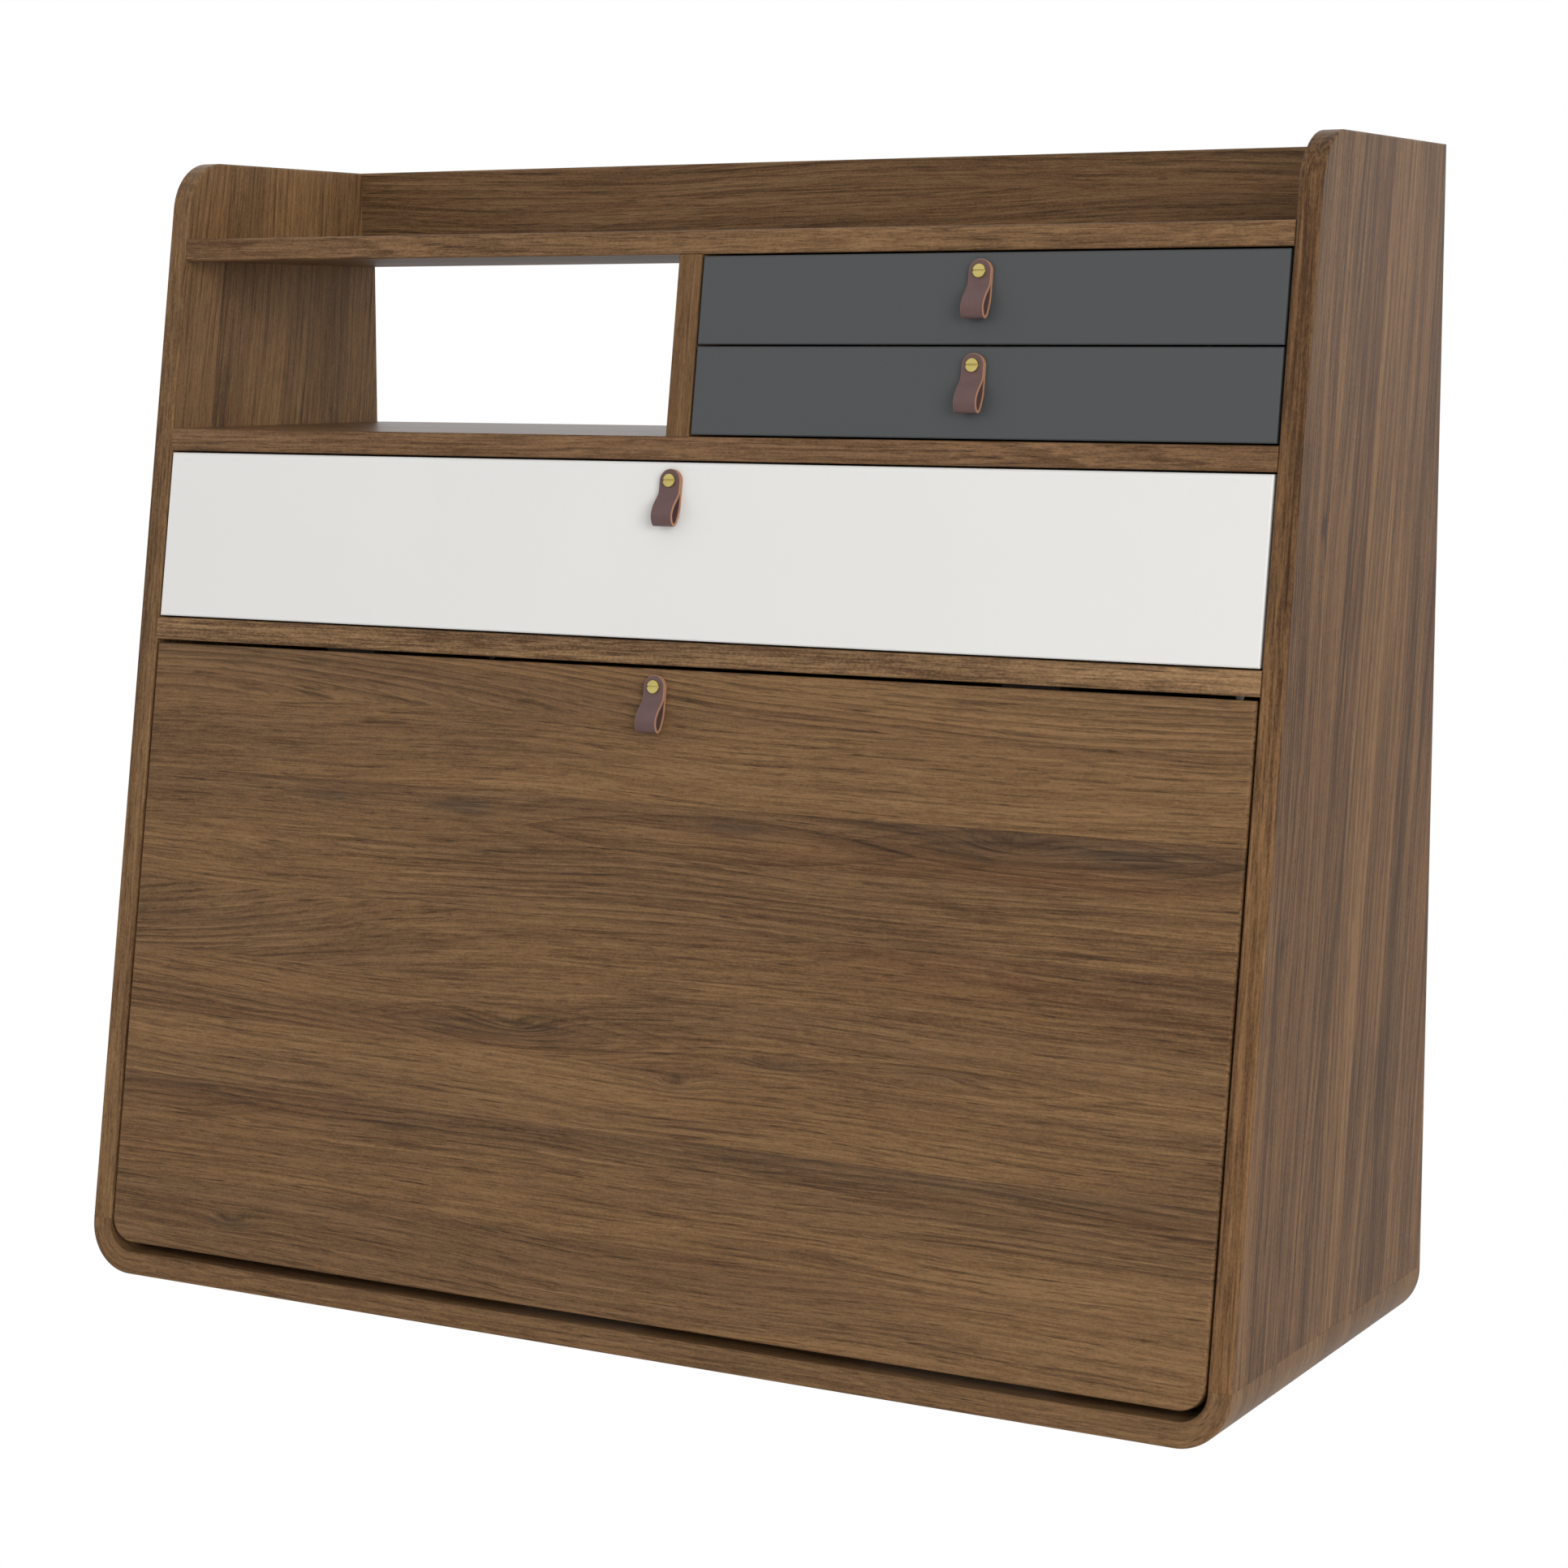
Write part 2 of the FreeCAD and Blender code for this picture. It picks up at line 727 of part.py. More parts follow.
def flap_bushes():
    """Bushes flush in the side panels, in which the flap's pins turn."""
    body = new_body("flap_bushes", y=hinge_y, rise=hinge_rise)
    bore = S.pin_radius + S.running_play
    end = inner_half + S.bush_depth
    turned = add_turned(
        body,
        [(inner_half, bore), (inner_half, S.bush_radius), (end, S.bush_radius), (end, bore)],
    )
    add_mirror(body, turned)


def flap_pivot_pins():
    """The two pins on which the flap turns."""
    body = new_body("flap_pivot_pins", y=hinge_y, rise=hinge_rise)
    start = flap_half_width - S.pin_depth
    end = inner_half + S.bush_depth - S.end_play
    turned = add_turned(body, [(start, ZERO), (start, S.pin_radius), (end, S.pin_radius), (end, ZERO)])
    add_mirror(body, turned)


def flap():
    """The fold down flap, drawn about its pivot axis and leaning with the front."""
    body = new_body("flap", y=hinge_y, rise=hinge_rise, tilt=-lean)
    sketch = new_sketch(body, "XZ_Plane")
    add_rectangle(sketch, -flap_half_width, flap_half_width, -pivot_up, flap_top)
    add_pad(body, sketch, S.flap_board, centred=True)
    corner_round = S.bend_radius - S.board - S.front_side_gap
    add_fillet(
        body,
        corner_round,
        lambda edge: runs_along(edge, ALONG_Y) and near(middle(edge).z, -pivot_up),
    )

    def round_the_face(side):
        def chosen(edge):
            return not runs_along(edge, ALONG_Y) and near(middle(edge).y, half_flap * side)

        return chosen

    add_fillet(body, S.flap_arris, round_the_face(-1))
    add_chamfer(body, S.arris, round_the_face(1))
    pin_hole = S.pin_radius + S.running_play
    depth = S.pin_depth + S.end_play
    holes = add_holes(body, "YZ_Plane", flap_half_width, [(ZERO, ZERO)], pin_hole, depth)
    add_mirror(body, holes)
    pull_up = up_the_flap(flap_head_rise - S.pull_screw_drop)
    pilot = S.pull_screw_radius + S.running_play
    add_holes(body, "XZ_Plane", half_flap, [(ZERO, pull_up)], pilot, S.pull_screw_depth)


def stay_brackets():
    """Angle brackets on the flap's inner face that carry the stays' rivets."""
    body = new_body("stay_brackets", y=hinge_y, rise=hinge_rise, tilt=-lean)
    sketch = new_sketch(body, "XZ_Plane", -half_flap)
    half = S.bracket_length / 2
    add_rectangle(sketch, ear_outer - S.bracket_width, ear_outer, rivet_up - half, rivet_up + half)
    foot = add_pad(body, sketch, S.bracket_gauge, backwards=True)
    sketch = new_sketch(body, "YZ_Plane", ear_inner)
    radius = S.bracket_ear_radius
    add_rectangle(sketch, half_flap, rivet_out + radius, rivet_up - radius, rivet_up + radius)
    ear = add_pad(body, sketch, S.bracket_gauge)
    add_mirror(body, foot, ear)
    add_fillet(
        body,
        radius - S.round_margin,
        lambda edge: runs_along(edge, ALONG_X) and near(middle(edge).y, rivet_out + radius),
    )
    hole = S.rivet_radius + S.running_play
    holes = add_holes(body, "YZ_Plane", ear_outer, [(rivet_out, rivet_up)], hole, S.bracket_gauge)
    add_mirror(body, holes)


def stay_rivets():
    """The headed rivets on which the stay bars turn."""
    body = new_body("stay_rivets", **at_reach(rivet_angle))
    cap = bar_outer + S.stay_play
    turned = add_turned(
        body,
        [
            (ear_inner, ZERO),
            (ear_inner, S.rivet_radius),
            (cap, S.rivet_radius),
            (cap, S.rivet_head_radius),
            (cap + S.rivet_head, S.rivet_head_radius),
            (cap + S.rivet_head, ZERO),
        ],
    )
    add_mirror(body, turned)


def stay_studs():
    """Headed studs in the side panels, on which the slotted bars slide."""
    body = new_body("stay_studs", **at_reach(stud_angle))
    head = bar_inner - S.stay_play
    end = inner_half + S.stud_depth
    turned = add_turned(
        body,
        [
            (head - S.stud_head, ZERO),
            (head - S.stud_head, S.stud_head_radius),
            (head, S.stud_head_radius),
            (head, S.stud_radius),
            (end, S.stud_radius),
            (end, ZERO),
        ],
    )
    add_mirror(body, turned)


def stay_bar(label, side):
    """A slotted stay bar, drawn from its rivet hole along its length."""
    body = new_body(label, **at_reach(rivet_angle), tilt=bar_tilt)
    start = bar_inner if side > 0 else -bar_outer
    sketch = new_sketch(body, "YZ_Plane", start)
    add_stadium(sketch, ZERO, slot_far + S.slot_radius + S.bar_tip - S.bar_radius, S.bar_radius)
    add_pad(body, sketch, S.bar_gauge)
    sketch = new_sketch(body, "YZ_Plane", start)
    add_circle(sketch, ZERO, ZERO, S.rivet_radius + S.running_play)
    add_stadium(sketch, slot_near, slot_far, S.slot_radius)
    add_pocket(body, sketch, S.bar_gauge, backwards=True)


def flap_catches():
    """Magnetic catches under the lower shelf, their faces leaning with the flap."""
    body = new_body("flap_catches")
    head = lower_shelf_rise
    foot = head - S.catch_height
    reach = (S.flap_board + S.strike_gauge + S.catch_gap) * lean_factor
    back = front(head) + reach + S.catch_depth
    sketch = new_sketch(body, "YZ_Plane", (S.catch_spread - S.catch_width) / 2)
    add_polygon(
        sketch,
        [(front(foot) + reach, foot), (back, foot), (back, head), (front(head) + reach, head)],
    )
    pad = add_pad(body, sketch, S.catch_width)
    add_mirror(body, pad)


def strike_plates():
    """Steel plates on the flap's inner face that the catches hold."""
    body = new_body("strike_plates", y=hinge_y, rise=hinge_rise, tilt=-lean)
    sketch = new_sketch(body, "XZ_Plane", -half_flap)
    centre = S.catch_spread / 2
    head = flap_top - S.flap_arris - S.strike_drop
    half = S.strike_width / 2
    add_rectangle(sketch, centre - half, centre + half, head - S.strike_height, head)
    pad = add_pad(body, sketch, S.strike_gauge, backwards=True)
    add_mirror(body, pad)


Drawer = namedtuple("Drawer", "name centre opening front_foot front_head box_height runner_length")
small_opening = (inner_half - S.divider_board / 2) / 2
small_centre = (inner_half + S.divider_board / 2) / 2
pair_rise = middle_shelf_top + S.niche_opening / 2
DRAWERS = [
    Drawer(
        "top_drawer",
        small_centre,
        small_opening,
        pair_rise + S.front_pair_gap / 2,
        top_shelf_rise - S.front_shelf_gap,
        S.small_box_height,
        S.small_runner_length,
    ),
    Drawer(
        "second_drawer",
        small_centre,
        small_opening,
        middle_shelf_top + S.front_shelf_gap,
        pair_rise - S.front_pair_gap / 2,
        S.small_box_height,
        S.small_runner_length,
    ),
    Drawer(
        "wide_drawer",
        ZERO,
        inner_half,
        lower_shelf_top + S.front_shelf_gap,
        middle_shelf_rise - S.front_shelf_gap,
        S.wide_box_height,
        S.wide_runner_length,
    ),
]


def add_pilot(body, rise):
    """Drills a leaning front square to its face for the pull's screw."""
    before = body.Tip.Shape.Volume
    hole = body.newObject("PartDesign::SubtractiveCylinder", "Cylinder")
    hole.setExpression("Radius", (S.pull_screw_radius + S.running_play).text)
    hole.setExpression("Height", S.pull_screw_depth.text)
    turn = FreeCAD.Rotation(FreeCAD.Vector(1, 0, 0), -(90 + lean))
    hole.Placement = FreeCAD.Placement(FreeCAD.Vector(0, front(rise).value, rise.value), turn)
    body.Tip = hole
    doc.recompute()
    if hole.Shape.Volume > before - SMALLEST_CUT:
        raise RuntimeError("the pilot hole in %s cuts nothing" % body.Label)


def drawer_front(drawer):
    """A leaning drawer front with level edges, grooved behind for the drawer's base."""
    body = new_body(drawer.name + "_front", x=drawer.centre)
    foot = drawer.front_foot
    head = drawer.front_head
    half = drawer.opening - S.front_side_gap
    sketch = new_sketch(body, "YZ_Plane")
    add_polygon(
        sketch,
        [
            (front(foot), foot),
            (front(foot) + front_depth, foot),
            (front(head) + front_depth, head),
            (front(head), head),
        ],
    )
    add_pad(body, sketch, half * 2, centred=True)
    add_chamfer(body, S.edge_arris, on_front)
    base_foot = foot + S.box_lift + S.drawer_base_rise
    base_head = base_foot + S.drawer_base
    back = front(base_foot) + front_depth
    sketch = new_sketch(body, "YZ_Plane")
    add_rectangle(
        sketch,
        back - S.drawer_groove,
        back + S.drawer_wall,
        base_foot - S.groove_play,
        base_head + S.groove_play,
    )
    groove_half = drawer.opening - S.runner_space - S.drawer_wall + S.drawer_groove
    add_pocket(body, sketch, groove_half * 2, centred=True)
    add_pilot(body, head - S.pull_screw_drop)


def drawer_side(drawer, side):
    """One side of a drawer box, its front end cut to the lean and its inner face grooved for the base."""
    name = "right" if side > 0 else "left"
    body = new_body("%s_%s_side" % (drawer.name, name), x=drawer.centre)
    foot = drawer.front_foot + S.box_lift
    head = foot + drawer.box_height
    inner = (drawer.opening - S.runner_space - S.drawer_wall) * side
    sketch = new_sketch(body, "YZ_Plane", inner)
    add_polygon(
        sketch,
        [
            (front(foot) + front_depth, foot),
            (-S.box_back_gap, foot),
            (-S.box_back_gap, head),
            (front(head) + front_depth, head),
        ],
    )
    outwards = side > 0
    add_pad(body, sketch, S.drawer_wall, backwards=not outwards)
    sketch = new_sketch(body, "YZ_Plane", inner)
    base_foot = foot + S.drawer_base_rise
    add_rectangle(
        sketch,
        front(foot),
        ZERO,
        base_foot - S.groove_play,
        base_foot + S.drawer_base + S.groove_play,
    )
    add_pocket(body, sketch, S.drawer_groove, backwards=outwards)


def drawer_back(drawer):
    """The back of a drawer box, standing on its base."""
    body = new_body(drawer.name + "_back", x=drawer.centre)
    foot = drawer.front_foot + S.box_lift
    half = drawer.opening - S.runner_space - S.drawer_wall
    base_top = foot + S.drawer_base_rise + S.drawer_base
    sketch = new_sketch(body, "XZ_Plane", S.box_back_gap)
    add_rectangle(sketch, -half, half, base_top, foot + drawer.box_height)
    add_pad(body, sketch, S.drawer_wall)


def drawer_base(drawer):
    """The base of a drawer box, let into the grooves of its sides and front."""
    body = new_body(drawer.name + "_base", x=drawer.centre)
    foot = drawer.front_foot + S.box_lift + S.drawer_base_rise
    half = drawer.opening - S.runner_space - S.drawer_wall + S.drawer_groove - S.groove_play
    ahead = front(foot) + front_depth - S.drawer_groove + S.groove_play
    sketch = new_sketch(body, "XY_Plane", foot)
    add_rectangle(sketch, -half, half, ahead, -S.box_back_gap)
    add_pad(body, sketch, S.drawer_base)


def runner_start(drawer):
    """The Y of the runners' front ends, just behind the drawer front."""
    head = drawer.front_foot + S.box_lift + drawer.box_height
    return front(head) + front_depth + S.runner_setback


def runner_pair(label, drawer, web, lip, shrink):
    """A pair of channels: web and lip are the X of the closed and open side, shrink the nesting inset."""
    body = new_body(label, x=drawer.centre)
    centre = drawer.front_foot + S.box_lift + drawer.box_height / 2
    half = S.runner_height / 2 - shrink
    wall = S.runner_gauge if web.value > lip.value else -S.runner_gauge
    inside = half - S.runner_gauge
    sketch = new_sketch(body, "XZ_Plane", -runner_start(drawer))
    add_polygon(
        sketch,
        [
            (web, centre - half),
            (web, centre + half),
            (lip, centre + half),
            (lip, centre + inside),
            (web - wall, centre + inside),
            (web - wall, centre - inside),
            (lip, centre - inside),
            (lip, centre - half),
        ],
    )
    pad = add_pad(body, sketch, drawer.runner_length, backwards=True)
    add_mirror(body, pad)


def drawer_runners(drawer):
    """The three nested members of a drawer's runners: on the carcass, between, and on the drawer."""
    wall = drawer.opening
    box = drawer.opening - S.runner_space
    layer = S.runner_gauge + S.runner_play
    runner_pair(drawer.name + "_fixed_runners", drawer, wall, box + layer * 2, ZERO)
    runner_pair(drawer.name + "_middle_runners", drawer, wall - layer, box + layer, layer)
    runner_pair(drawer.name + "_moving_runners", drawer, box, wall - layer * 2, layer * 2)


def pull(label, centre, head):
    """A leather strap folded into a loop, drawn about its screw and leaning with the front."""
    rise = head - S.pull_screw_drop
    body = new_body(label, x=centre, y=front(rise), rise=rise, tilt=-lean)
    top = S.strap_width / 2
    gauge = S.strap_gauge
    nose = top - S.strap_length
    belly = top - S.belly_drop
    fold = top - S.strap_fold
    sketch = new_sketch(body, "YZ_Plane")
    add_polygon(
        sketch,
        [
            (ZERO, top),
            (gauge * -2, top),
            (gauge * -2, fold),
            (-S.belly_depth, belly),
            (-S.nose_front, nose),
            (-S.nose_back, nose),
            (ZERO, belly),
        ],
    )
    add_polygon(
        sketch,
        [
            (-gauge, fold - gauge / 2),
            (gauge - S.belly_depth, belly - gauge / 4),
            (gauge - S.nose_front, nose + gauge),
            (gauge / -2 - S.nose_back, nose + gauge),
            (-gauge, belly),
        ],
    )
    add_pad(body, sketch, S.strap_width, centred=True)
    for radius, y, z in (
        (S.fold_round, gauge * -2, fold),
        (S.belly_round, -S.belly_depth, belly),
        (S.nose_round, -S.nose_front, nose),
        (S.nose_round, -S.nose_back, nose),
        (S.heel_round, ZERO, belly),
        (S.belly_round - gauge, gauge - S.belly_depth, belly - gauge / 4),
        (S.nose_round - gauge, gauge - S.nose_front, nose + gauge),
        (S.nose_round - gauge, gauge / -2 - S.nose_back, nose + gauge),
        (S.heel_round - gauge, -gauge, belly),
    ):
        add_fillet(body, radius, lambda edge: at_yz(edge, y, z))
    add_fillet(
        body,
        top - S.round_margin,
        lambda edge: runs_along(edge, ALONG_Y) and near(middle(edge).z, top),
    )
    clear = S.pull_screw_radius + S.hole_play
    add_holes(body, "XZ_Plane", ZERO, [(ZERO, ZERO)], clear, gauge * 2, True)


def pull_screw(label, centre, head):
    """The slotted screw through a pull, its slot level."""
    rise = head - S.pull_screw_drop
    body = new_body(label, x=centre, y=front(rise), rise=rise, tilt=-lean)
    seat = S.strap_gauge * -2
    cap = seat - S.pull_screw_head
    tail = S.pull_screw_depth - S.end_play
    radius = S.pull_screw_radius
    add_turned(
        body,
        [
            (ZERO, tail),
            (radius, tail),
            (radius, seat),
            (S.pull_screw_head_radius, seat),
            (S.pull_screw_head_radius, cap),
            (ZERO, cap),
        ],
        "V_Axis",
    )
    half = S.pull_screw_slot / 2
    sketch = new_sketch(body, "YZ_Plane")
    add_rectangle(sketch, cap - S.pull_screw_slot_depth, cap + S.pull_screw_slot_depth, -half, half)
    add_pocket(body, sketch, S.pull_screw_head_radius * 3, centred=True)


def build():
    """Makes every piece of the desk."""
    side_panel("left_side_panel", -1)
    side_panel("right_side_panel", 1)
    bottom_panel()
    shelf("lower_shelf", lower_shelf_rise)
    add_divider_seat(shelf("middle_shelf", middle_shelf_rise), middle_shelf_top, False)
    add_divider_seat(shelf("top_shelf", top_shelf_rise), top_shelf_rise, True)
    divider()
    rail("back_rail", top_shelf_top, S.back_rail_height)
    rail("upper_wall_rail", upper_rail_foot, S.wall_rail_height, upper_fixing_rise)
    rail("lower_wall_rail", S.floor_rise, S.wall_rail_height, lower_fixing_rise)
    small_left = S.divider_board / 2
    thin_back("small_drawer_back_panel", small_left, inner_half, middle_shelf_top, top_shelf_rise)
    thin_back("wide_drawer_back_panel", -inner_half, inner_half, lower_shelf_top, middle_shelf_rise)
    thin_back("desk_back_panel", -inner_half, inner_half, lower_rail_top, upper_rail_foot)
    desk_floor()
    floor_bearers()
    carcass_tongues()
    flap_bushes()
    flap_pivot_pins()
    flap()
    stay_brackets()
    stay_rivets()
    stay_studs()
    stay_bar("left_stay_bar", -1)
    stay_bar("right_stay_bar", 1)
    flap_catches()
    strike_plates()
    for drawer in DRAWERS:
        drawer_front(drawer)
        drawer_side(drawer, -1)
        drawer_side(drawer, 1)
        drawer_back(drawer)
        drawer_base(drawer)
        drawer_runners(drawer)
        pull(drawer.name + "_pull", drawer.centre, drawer.front_head)
        pull_screw(drawer.name + "_pull_screw", drawer.centre, drawer.front_head)
    pull("flap_pull", ZERO, flap_head_rise)
    pull_screw("flap_pull_screw", ZERO, flap_head_rise)


def check():
    """Stops the build when a feature failed or a piece is empty or broken."""
    doc.recompute()
    for item in doc.Objects:
        if "Invalid" in item.State or "Error" in item.State:
            raise RuntimeError("%s did not compute: %s" % (item.Name, item.State))
    for body in bodies():
        if body.Shape.isNull() or not body.Shape.isValid() or not body.Shape.Solids:
            raise RuntimeError("%s has no valid solid" % body.Label)


def bodies():
    """Every piece in the document."""
    return [item for item in doc.Objects if item.TypeId == "PartDesign::Body"]


def export():
    """Writes each piece to a file of its own name."""
    os.makedirs(NODE_FOLDER, exist_ok=True)
    for body in bodies():
        body.Shape.exportStep(os.path.join(NODE_FOLDER, body.Label + ".step"))


build()
check()
export()
print("datum rise", round(datum_rise.value, 3), "pieces", len(bodies()))
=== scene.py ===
import logging
import math
from dataclasses import dataclass, field
from enum import Enum

import bmesh
import bpy
import numpy as np
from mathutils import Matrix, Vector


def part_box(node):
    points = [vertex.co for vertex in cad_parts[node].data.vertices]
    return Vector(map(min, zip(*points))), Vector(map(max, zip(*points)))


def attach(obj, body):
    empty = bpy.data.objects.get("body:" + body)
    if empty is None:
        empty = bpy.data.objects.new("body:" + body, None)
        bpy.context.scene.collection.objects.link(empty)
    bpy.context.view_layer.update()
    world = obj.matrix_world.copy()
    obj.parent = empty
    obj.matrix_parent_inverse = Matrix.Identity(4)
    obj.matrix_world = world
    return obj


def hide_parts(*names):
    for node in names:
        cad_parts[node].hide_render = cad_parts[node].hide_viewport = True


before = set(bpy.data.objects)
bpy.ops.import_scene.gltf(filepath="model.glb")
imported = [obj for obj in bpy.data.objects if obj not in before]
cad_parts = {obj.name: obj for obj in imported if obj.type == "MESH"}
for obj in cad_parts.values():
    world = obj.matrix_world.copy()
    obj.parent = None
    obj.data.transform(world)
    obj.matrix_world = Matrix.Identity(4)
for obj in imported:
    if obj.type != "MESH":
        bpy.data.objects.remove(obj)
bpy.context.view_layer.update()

# Looks of a fold down wall desk: walnut boards, lacquered drawer fronts and leather pulls. Lengths are in
# metres in the desk's own frame. X runs right, Y runs back to the wall and Z runs up, from the centre of
# the four wall screws. A height above the desk's underside is called a rise.

LOG = logging.getLogger("wall_desk")
MM = 0.001
DATUM = 286 * MM
TINY = 0.02 * MM
RIGHT, BACK, UP = (1.0, 0.0, 0.0), (0.0, 1.0, 0.0), (0.0, 0.0, 1.0)
WHITE = (1.0, 1.0, 1.0, 1.0)
BLACK = (0.0, 0.0, 0.0, 1.0)

# The points, faces and normals of a closed surface.
Shell = tuple[np.ndarray, list[list[int]], np.ndarray]


def linear(tint: str) -> tuple[float, float, float, float]:
    """Turns a colour as it looks on a screen, such as 7A5C44, into the linear colour that shaders take.

    Args:
        tint: Six hexadecimal digits for red, green and blue.

    Returns:
        Red, green, blue and an alpha of one.
    """
    shown = [int(tint[place:place + 2], 16) / 255 for place in (0, 2, 4)]
    level = [part / 12.92 if part <= 0.04045 else ((part + 0.055) / 1.055) ** 2.4 for part in shown]
    return (*level, 1.0)


# ---------------------------------------------------------------- shapes


def unit(rows: np.ndarray) -> np.ndarray:
    """Scales each row of an array of vectors to length one."""
    return rows / np.linalg.norm(rows, axis=-1, keepdims=True)


def edge_facings(corners: np.ndarray) -> np.ndarray:
    """The outward normal of each edge of an anticlockwise outline: its direction turned a quarter right."""
    along = unit(np.roll(corners, -1, axis=0) - corners)
    return np.stack([along[:, 1], -along[:, 0]], axis=1)


def moved_in(corners: np.ndarray, amounts: np.ndarray) -> np.ndarray:
    """Moves each edge of an outline inwards; each corner goes to where its two moved edges cross.

    The shift s of a corner solves n1 . s = -d1 and n2 . s = -d2 for its edges' normals n and amounts d.

    Args:
        corners: The outline's corners, anticlockwise, one row each.
        amounts: How far each edge moves, the first being the edge that leaves the first corner.

    Returns:
        The moved corners.
    """
    leaving = edge_facings(corners)
    normals = np.stack([np.roll(leaving, 1, axis=0), leaving], axis=1)
    wanted = -np.stack([np.roll(amounts, 1), amounts], axis=1)
    return corners + np.linalg.solve(normals, wanted[..., None])[..., 0]


def rounded(corners: np.ndarray, radii: np.ndarray, steps: int) -> tuple[np.ndarray, np.ndarray]:
    """Replaces each corner of an outline by an arc that touches both of its edges.

    The arc starts radius * tan(turn / 2) before the corner, and its normals turn evenly from the facing
    of one edge to that of the next.

    Args:
        corners: The outline's corners, anticlockwise, one row each.
        radii: The radius of each corner's arc.
        steps: The number of points on each arc.

    Returns:
        The points of all arcs in order, and the outward normal at each.
    """
    leave = unit(np.roll(corners, -1, axis=0) - corners)
    arrive = np.roll(leave, 1, axis=0)
    cross = arrive[:, 0] * leave[:, 1] - arrive[:, 1] * leave[:, 0]
    turn = np.arctan2(cross, (arrive * leave).sum(axis=1))
    radius = radii * np.sign(turn)
    start = corners - arrive * (radius * np.tan(turn / 2))[:, None]
    facing = np.stack([arrive[:, 1], -arrive[:, 0]], axis=1)
    centre = start - facing * radius[:, None]
    spread = np.linspace(0, 1, steps)
    angle = np.arctan2(facing[:, 1], facing[:, 0])[:, None] + turn[:, None] * spread
    normal = np.stack([np.cos(angle), np.sin(angle)], axis=-1)
    points = centre[:, None] + normal * radius[:, None, None]
    return points.reshape(-1, 2), normal.reshape(-1, 2)


def ring_quads(rings: int, count: int) -> list[list[int]]:
    """The four corners of each cell between closed rings of points that are counted ring by ring.

    Args:
        rings: The number of rings.
        count: The number of points in a ring.

    Returns:
        The point numbers of each cell.
    """
    first = np.arange(rings - 1)[:, None] * count
    here = np.arange(count)[None]
    right = (here + 1) % count
    cells = [first + here, first + right, first + count + right, first + count + here]
    return np.stack(cells, axis=-1).reshape(-1, 4).tolist()


def tube_faces(rings: int, count: int) -> list[list[int]]:
    """The faces of a closed tube: the cells between its rings, and one face over each end."""
    ring = np.arange(count)
    return ring_quads(rings, count) + [ring[::-1].tolist(), (ring + (rings - 1) * count).tolist()]


def smooth_path(knots: np.ndarray, per_span: int) -> np.ndarray:
    """A smooth path through points.

    Each span is the cubic whose slope at a point is half the step from the point before to the one after.

    Args:
        knots: The points, one row each.
        per_span: The number of places worked out on each span.

    Returns:
        The path's points, one row each.
    """
    ends = (2 * knots[:1] - knots[1:2], 2 * knots[-1:] - knots[-2:-1])
    padded = np.vstack([ends[0], knots, ends[1]])
    before, here, there, after = (padded[first:first + len(knots) - 1, None] for first in range(4))
    t = np.linspace(0, 1, per_span, endpoint=False)[None, :, None]
    square = (2 * before - 5 * here + 4 * there - after) * t**2
    cube = (3 * here - before - 3 * there + after) * t**3
    spans = 0.5 * (2 * here + (there - before) * t + square + cube)
    return np.vstack([spans.reshape(-1, knots.shape[1]), knots[-1:]])


@dataclass(frozen=True)
class Axes:
    """A place and three axes at right angles: across, up, and out, which is across turned to up."""

    origin: tuple[float, float, float]
    across: tuple[float, float, float]
    up: tuple[float, float, float]

    def turned(self, vectors: np.ndarray) -> np.ndarray:
        """Turns vectors given along the three axes into the desk's frame."""
        across, up = np.array(self.across), np.array(self.up)
        return vectors @ np.stack([across, up, np.cross(across, up)])

    def placed(self, points: np.ndarray) -> np.ndarray:
        """Turns points given along the three axes into places in the desk's frame."""
        return self.turned(points) + np.array(self.origin)


def new_piece(
    name: str,
    points: np.ndarray,
    faces: list[list[int]],
    normals: np.ndarray | None = None,
) -> bpy.types.Object:
    """Makes a smooth-shaded mesh object at the origin.

    Args:
        name: The piece's name.
        points: The vertices' places.
        faces: The vertex numbers of each face, anticlockwise seen from outside.
        normals: The shading normal at each vertex, where it isn't left to the faces.

    Returns:
        The new object, linked to the scene.
    """
    mesh = bpy.data.meshes.new(name)
    mesh.from_pydata(points.tolist(), [], faces)
    mesh.update()
    mesh.shade_smooth()
    if normals is not None:
        mesh.normals_split_custom_set_from_vertices(normals.tolist())
    piece = bpy.data.objects.new(name, mesh)
    bpy.context.scene.collection.objects.link(piece)
    return piece


def joined(shells: list[Shell]) -> Shell:
    """Puts several closed shells into one."""
    starts = np.cumsum([0] + [len(points) for points, faces, normals in shells])
    faces = [
        [int(start) + corner for corner in face]
        for start, shell in zip(starts, shells)
        for face in shell[1]
    ]
    return np.vstack([shell[0] for shell in shells]), faces, np.vstack([shell[2] for shell in shells])


def add_layer(piece: bpy.types.Object, name: str, values: np.ndarray) -> None:
    """Keeps a number or a vector at each point of a piece, for its material.

    Args:
        piece: The piece.
        name: The attribute's name.
        values: The numbers in the order of the points, or the vectors, where they have a last axis of three.
    """
    vectors = values.ndim == 3
    layer = piece.data.attributes.new(name, "FLOAT_VECTOR" if vectors else "FLOAT", "POINT")
    layer.data.foreach_set("vector" if vectors else "value", values.astype(np.float32).ravel())


